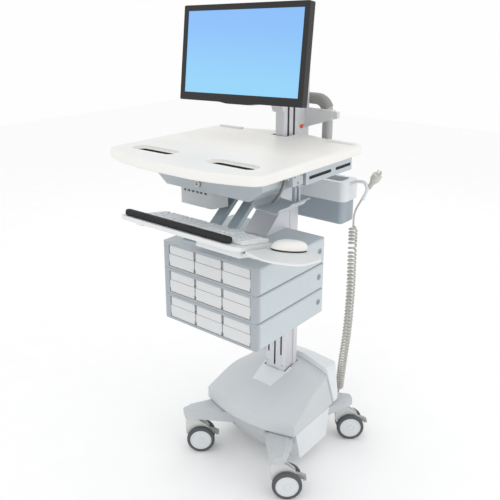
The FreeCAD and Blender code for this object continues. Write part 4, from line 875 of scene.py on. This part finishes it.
def slot_painted_shade(dark_material):
    """Painted shade: black sleeves round the walls of the two hand slots, and black strips behind the rails'
    slots.
    """
    liners = Shape()
    for middle in (-148, 148):
        outer = rounded_rectangle(middle - 73.6, middle + 73.6, -365.6, -324.4, 20.2, steps=8)
        inner = rounded_rectangle(middle - 72.2, middle + 72.2, -364.2, -325.8, 18.8, steps=8)
        high, low = TOP_Z - 7.6, TOP_Z - 28
        rings = [[at(x, y, z) for x, y in outline]
                 for outline, z in ((outer, low), (outer, high), (inner, high), (inner, low))]
        liners.loft(rings, closed=True)
    liners.piece("hand_slot_painted_shade", "lift_head", dark_material, "bezel_black")
    # painted shade behind the rails' slots
    strips = Shape()
    for side in (-1, 1):
        edge = sorted((side * 231.6, side * 233.4))
        strips.block(edge[0], edge[1], -116, 128, 1064, 1086)
    strips.piece("rail_slot_painted_shade", "lift_head", dark_material, "bezel_black")


def rail_ends(material):
    """Folded ends that close the side rails."""
    ends = Shape()
    for side in (-1, 1):
        for y in (-124.8, 130.4):
            edge = sorted((side * 208.4, side * 233.6))
            ends.block(edge[0], edge[1], y, y + 1.4, 1058.4, 1115.4)
    ends.piece("rail_ends", "lift_head", material, "frame_grey", bevel=0.4)


def main():
    """Camera and cord first, then the frame's finishes and the detailed pieces."""
    add_camera()
    cord_rubber = surface("cord_rubber", (196, 194, 188), roughness=0.55, mottle=0.05, grain=0.2, edge=0)
    plug_rubber = surface("plug_rubber", (205, 203, 196), roughness=0.5, mottle=0.04, grain=0.2)
    power_cord(cord_rubber, plug_rubber)
    add_stage()

    white = surface("top_plastic", (238, 237, 233), roughness=0.42, mottle=0.015, grain=0.25, grain_size=0.7)
    tray_white = surface("tray_plastic", (226, 228, 229), roughness=0.45, mottle=0.015, grain=0.2)
    shell_white = surface("shell_plastic", (224, 228, 231), roughness=0.45, mottle=0.02, grain=0.2)
    hood = surface("hood_plastic", (202, 206, 209), roughness=0.55, mottle=0.02, grain=0.3, grain_size=1.0,
                   edge=5)
    casting = surface("cast_paint", (192, 196, 199), roughness=0.5, mottle=0.03, grain=0.3, grain_size=1.4)
    drawer_shell = surface("drawer_shell_plastic", (196, 205, 209), roughness=0.48, mottle=0.015, grain=0.25)
    drawer_front = surface("drawer_front_plastic", (214, 216, 217), roughness=0.5, mottle=0.02, grain=0.2)
    frame_paint = surface("frame_paint", (188, 196, 202), roughness=0.42, mottle=0.02, grain=0.3,
                          grain_size=1.2)
    arm_paint = surface("arm_paint", (166, 178, 186), roughness=0.42, mottle=0.03, grain=0.3, grain_size=1.2)
    bucket = surface("bucket_plastic", (160, 170, 178), roughness=0.5, mottle=0.02, grain=0.25)
    silver = surface("anodised", (216, 217, 221), roughness=0.4, metallic=0.3, mottle=0.03, grain=0.2,
                     grain_size=0.5, stretch=(1, 1, 0.02), edge=0.5)
    black_gloss = surface("bezel_gloss", (10, 10, 11), roughness=0.3, mottle=0.1, grain=0.02, coat=0.05,
                          edge=1.2)
    black_soft = surface("palm_foam", (34, 34, 37), roughness=0.72, mottle=0.12, grain=0.7, grain_size=0.9,
                         edge=0)
    dark = surface("dark_plastic", (28, 29, 31), roughness=0.5, mottle=0.1, grain=0.2, edge=0.4)
    tyre = surface("tyre_rubber", (82, 84, 88), roughness=0.68, mottle=0.08, grain=0.45, grain_size=1.2,
                   edge=0)
    hub = surface("hub_plastic", (214, 218, 220), roughness=0.45, mottle=0.03, grain=0.2)
    fork = surface("fork_plastic", (212, 214, 213), roughness=0.45, mottle=0.03, grain=0.25, edge=2.0)
    pedal = surface("pedal_plastic", (166, 167, 167), roughness=0.5, mottle=0.04, grain=0.25, edge=1.2)
    nickel = surface("nickel", (184, 184, 184), roughness=0.22, metallic=1.0, mottle=0.05, grain=0.05)
    steel = surface("spring_steel", (150, 152, 155), roughness=0.3, metallic=1.0, mottle=0.08, grain=0.2,
                    stretch=(1, 1, 0.05))
    lever = surface("lever_metal", (140, 140, 140), roughness=0.3, metallic=0.8, mottle=0.05, grain=0.15)
    handle = surface("handle_paint", (170, 171, 170), roughness=0.38, mottle=0.03, grain=0.2)
    grip = surface("handle_grip", (150, 149, 144), roughness=0.6, mottle=0.04, grain=0.4)
    plug_grey = surface("side_plug", (150, 156, 162), roughness=0.4, mottle=0.04, grain=0.2)
    orange = surface("clip_orange", (214, 92, 40), roughness=0.45, mottle=0.05, grain=0.2)

    dress(white, "worksurface")
    dress(tray_white, "keyboard_tray", "mouse_tray")
    dress(shell_white, "rear_cover", "battery_skirts", "bin_holder")
    dress(hood, "base_hood", "arm_housing")
    dress(casting, "base_casting")
    # painted shade on the drawer units' front faces, which get less light than their sides
    unit_shell_front_shade = front_shade_material(drawer_shell, "drawer_unit_plastic_front_shade", (168, 174, 180))
    dress(unit_shell_front_shade, *(f"drawer_unit_{row}" for row in (1, 2, 3)))
    dress(frame_paint, "underframe", "scanner_shelf")
    dress(drawer_front, "cross_arm", "tech_box")
    dress(arm_paint, "keyboard_arm", "pivot_arm")
    dress(bucket, "bin_bucket")
    dress(silver, "column", "mast", "display_carriage")
    # riser with painted shade on its front inside the column
    dress(riser_slot_shade_material(silver), "riser")
    dress(black_gloss, "display_housing", "tilt_head")
    dress(screen_material(), "screen_panel")
    dress(dark, "battery_pack")
    dress(steel, "lift_spring")
    dress(nickel, "key_lock")
    for name in CASTERS:
        dress(fork, f"caster_fork_{name}")
        dress(pedal, f"brake_pedal_{name}")
        caster_wheels(name, tyre, hub)
    for row in range(3):
        unit_trim(row, plug_grey)
        for column in range(3):
            drawer(row, column, drawer_front)
    keyboard(tray_white, shell_white)
    palm_rest(black_soft)
    mouse(white, dark)
    display_trim(dark)
    mast_trim(dark, drawer_shell, orange)
    base_trim(shell_white, dark, nickel)
    # painted shade in the hand slots and behind the rails' slots
    slot_painted_shade(black_soft)
    rail_ends(frame_paint)
    rear_handle(handle, grip)
    lift_lever(lever, nickel)


main()
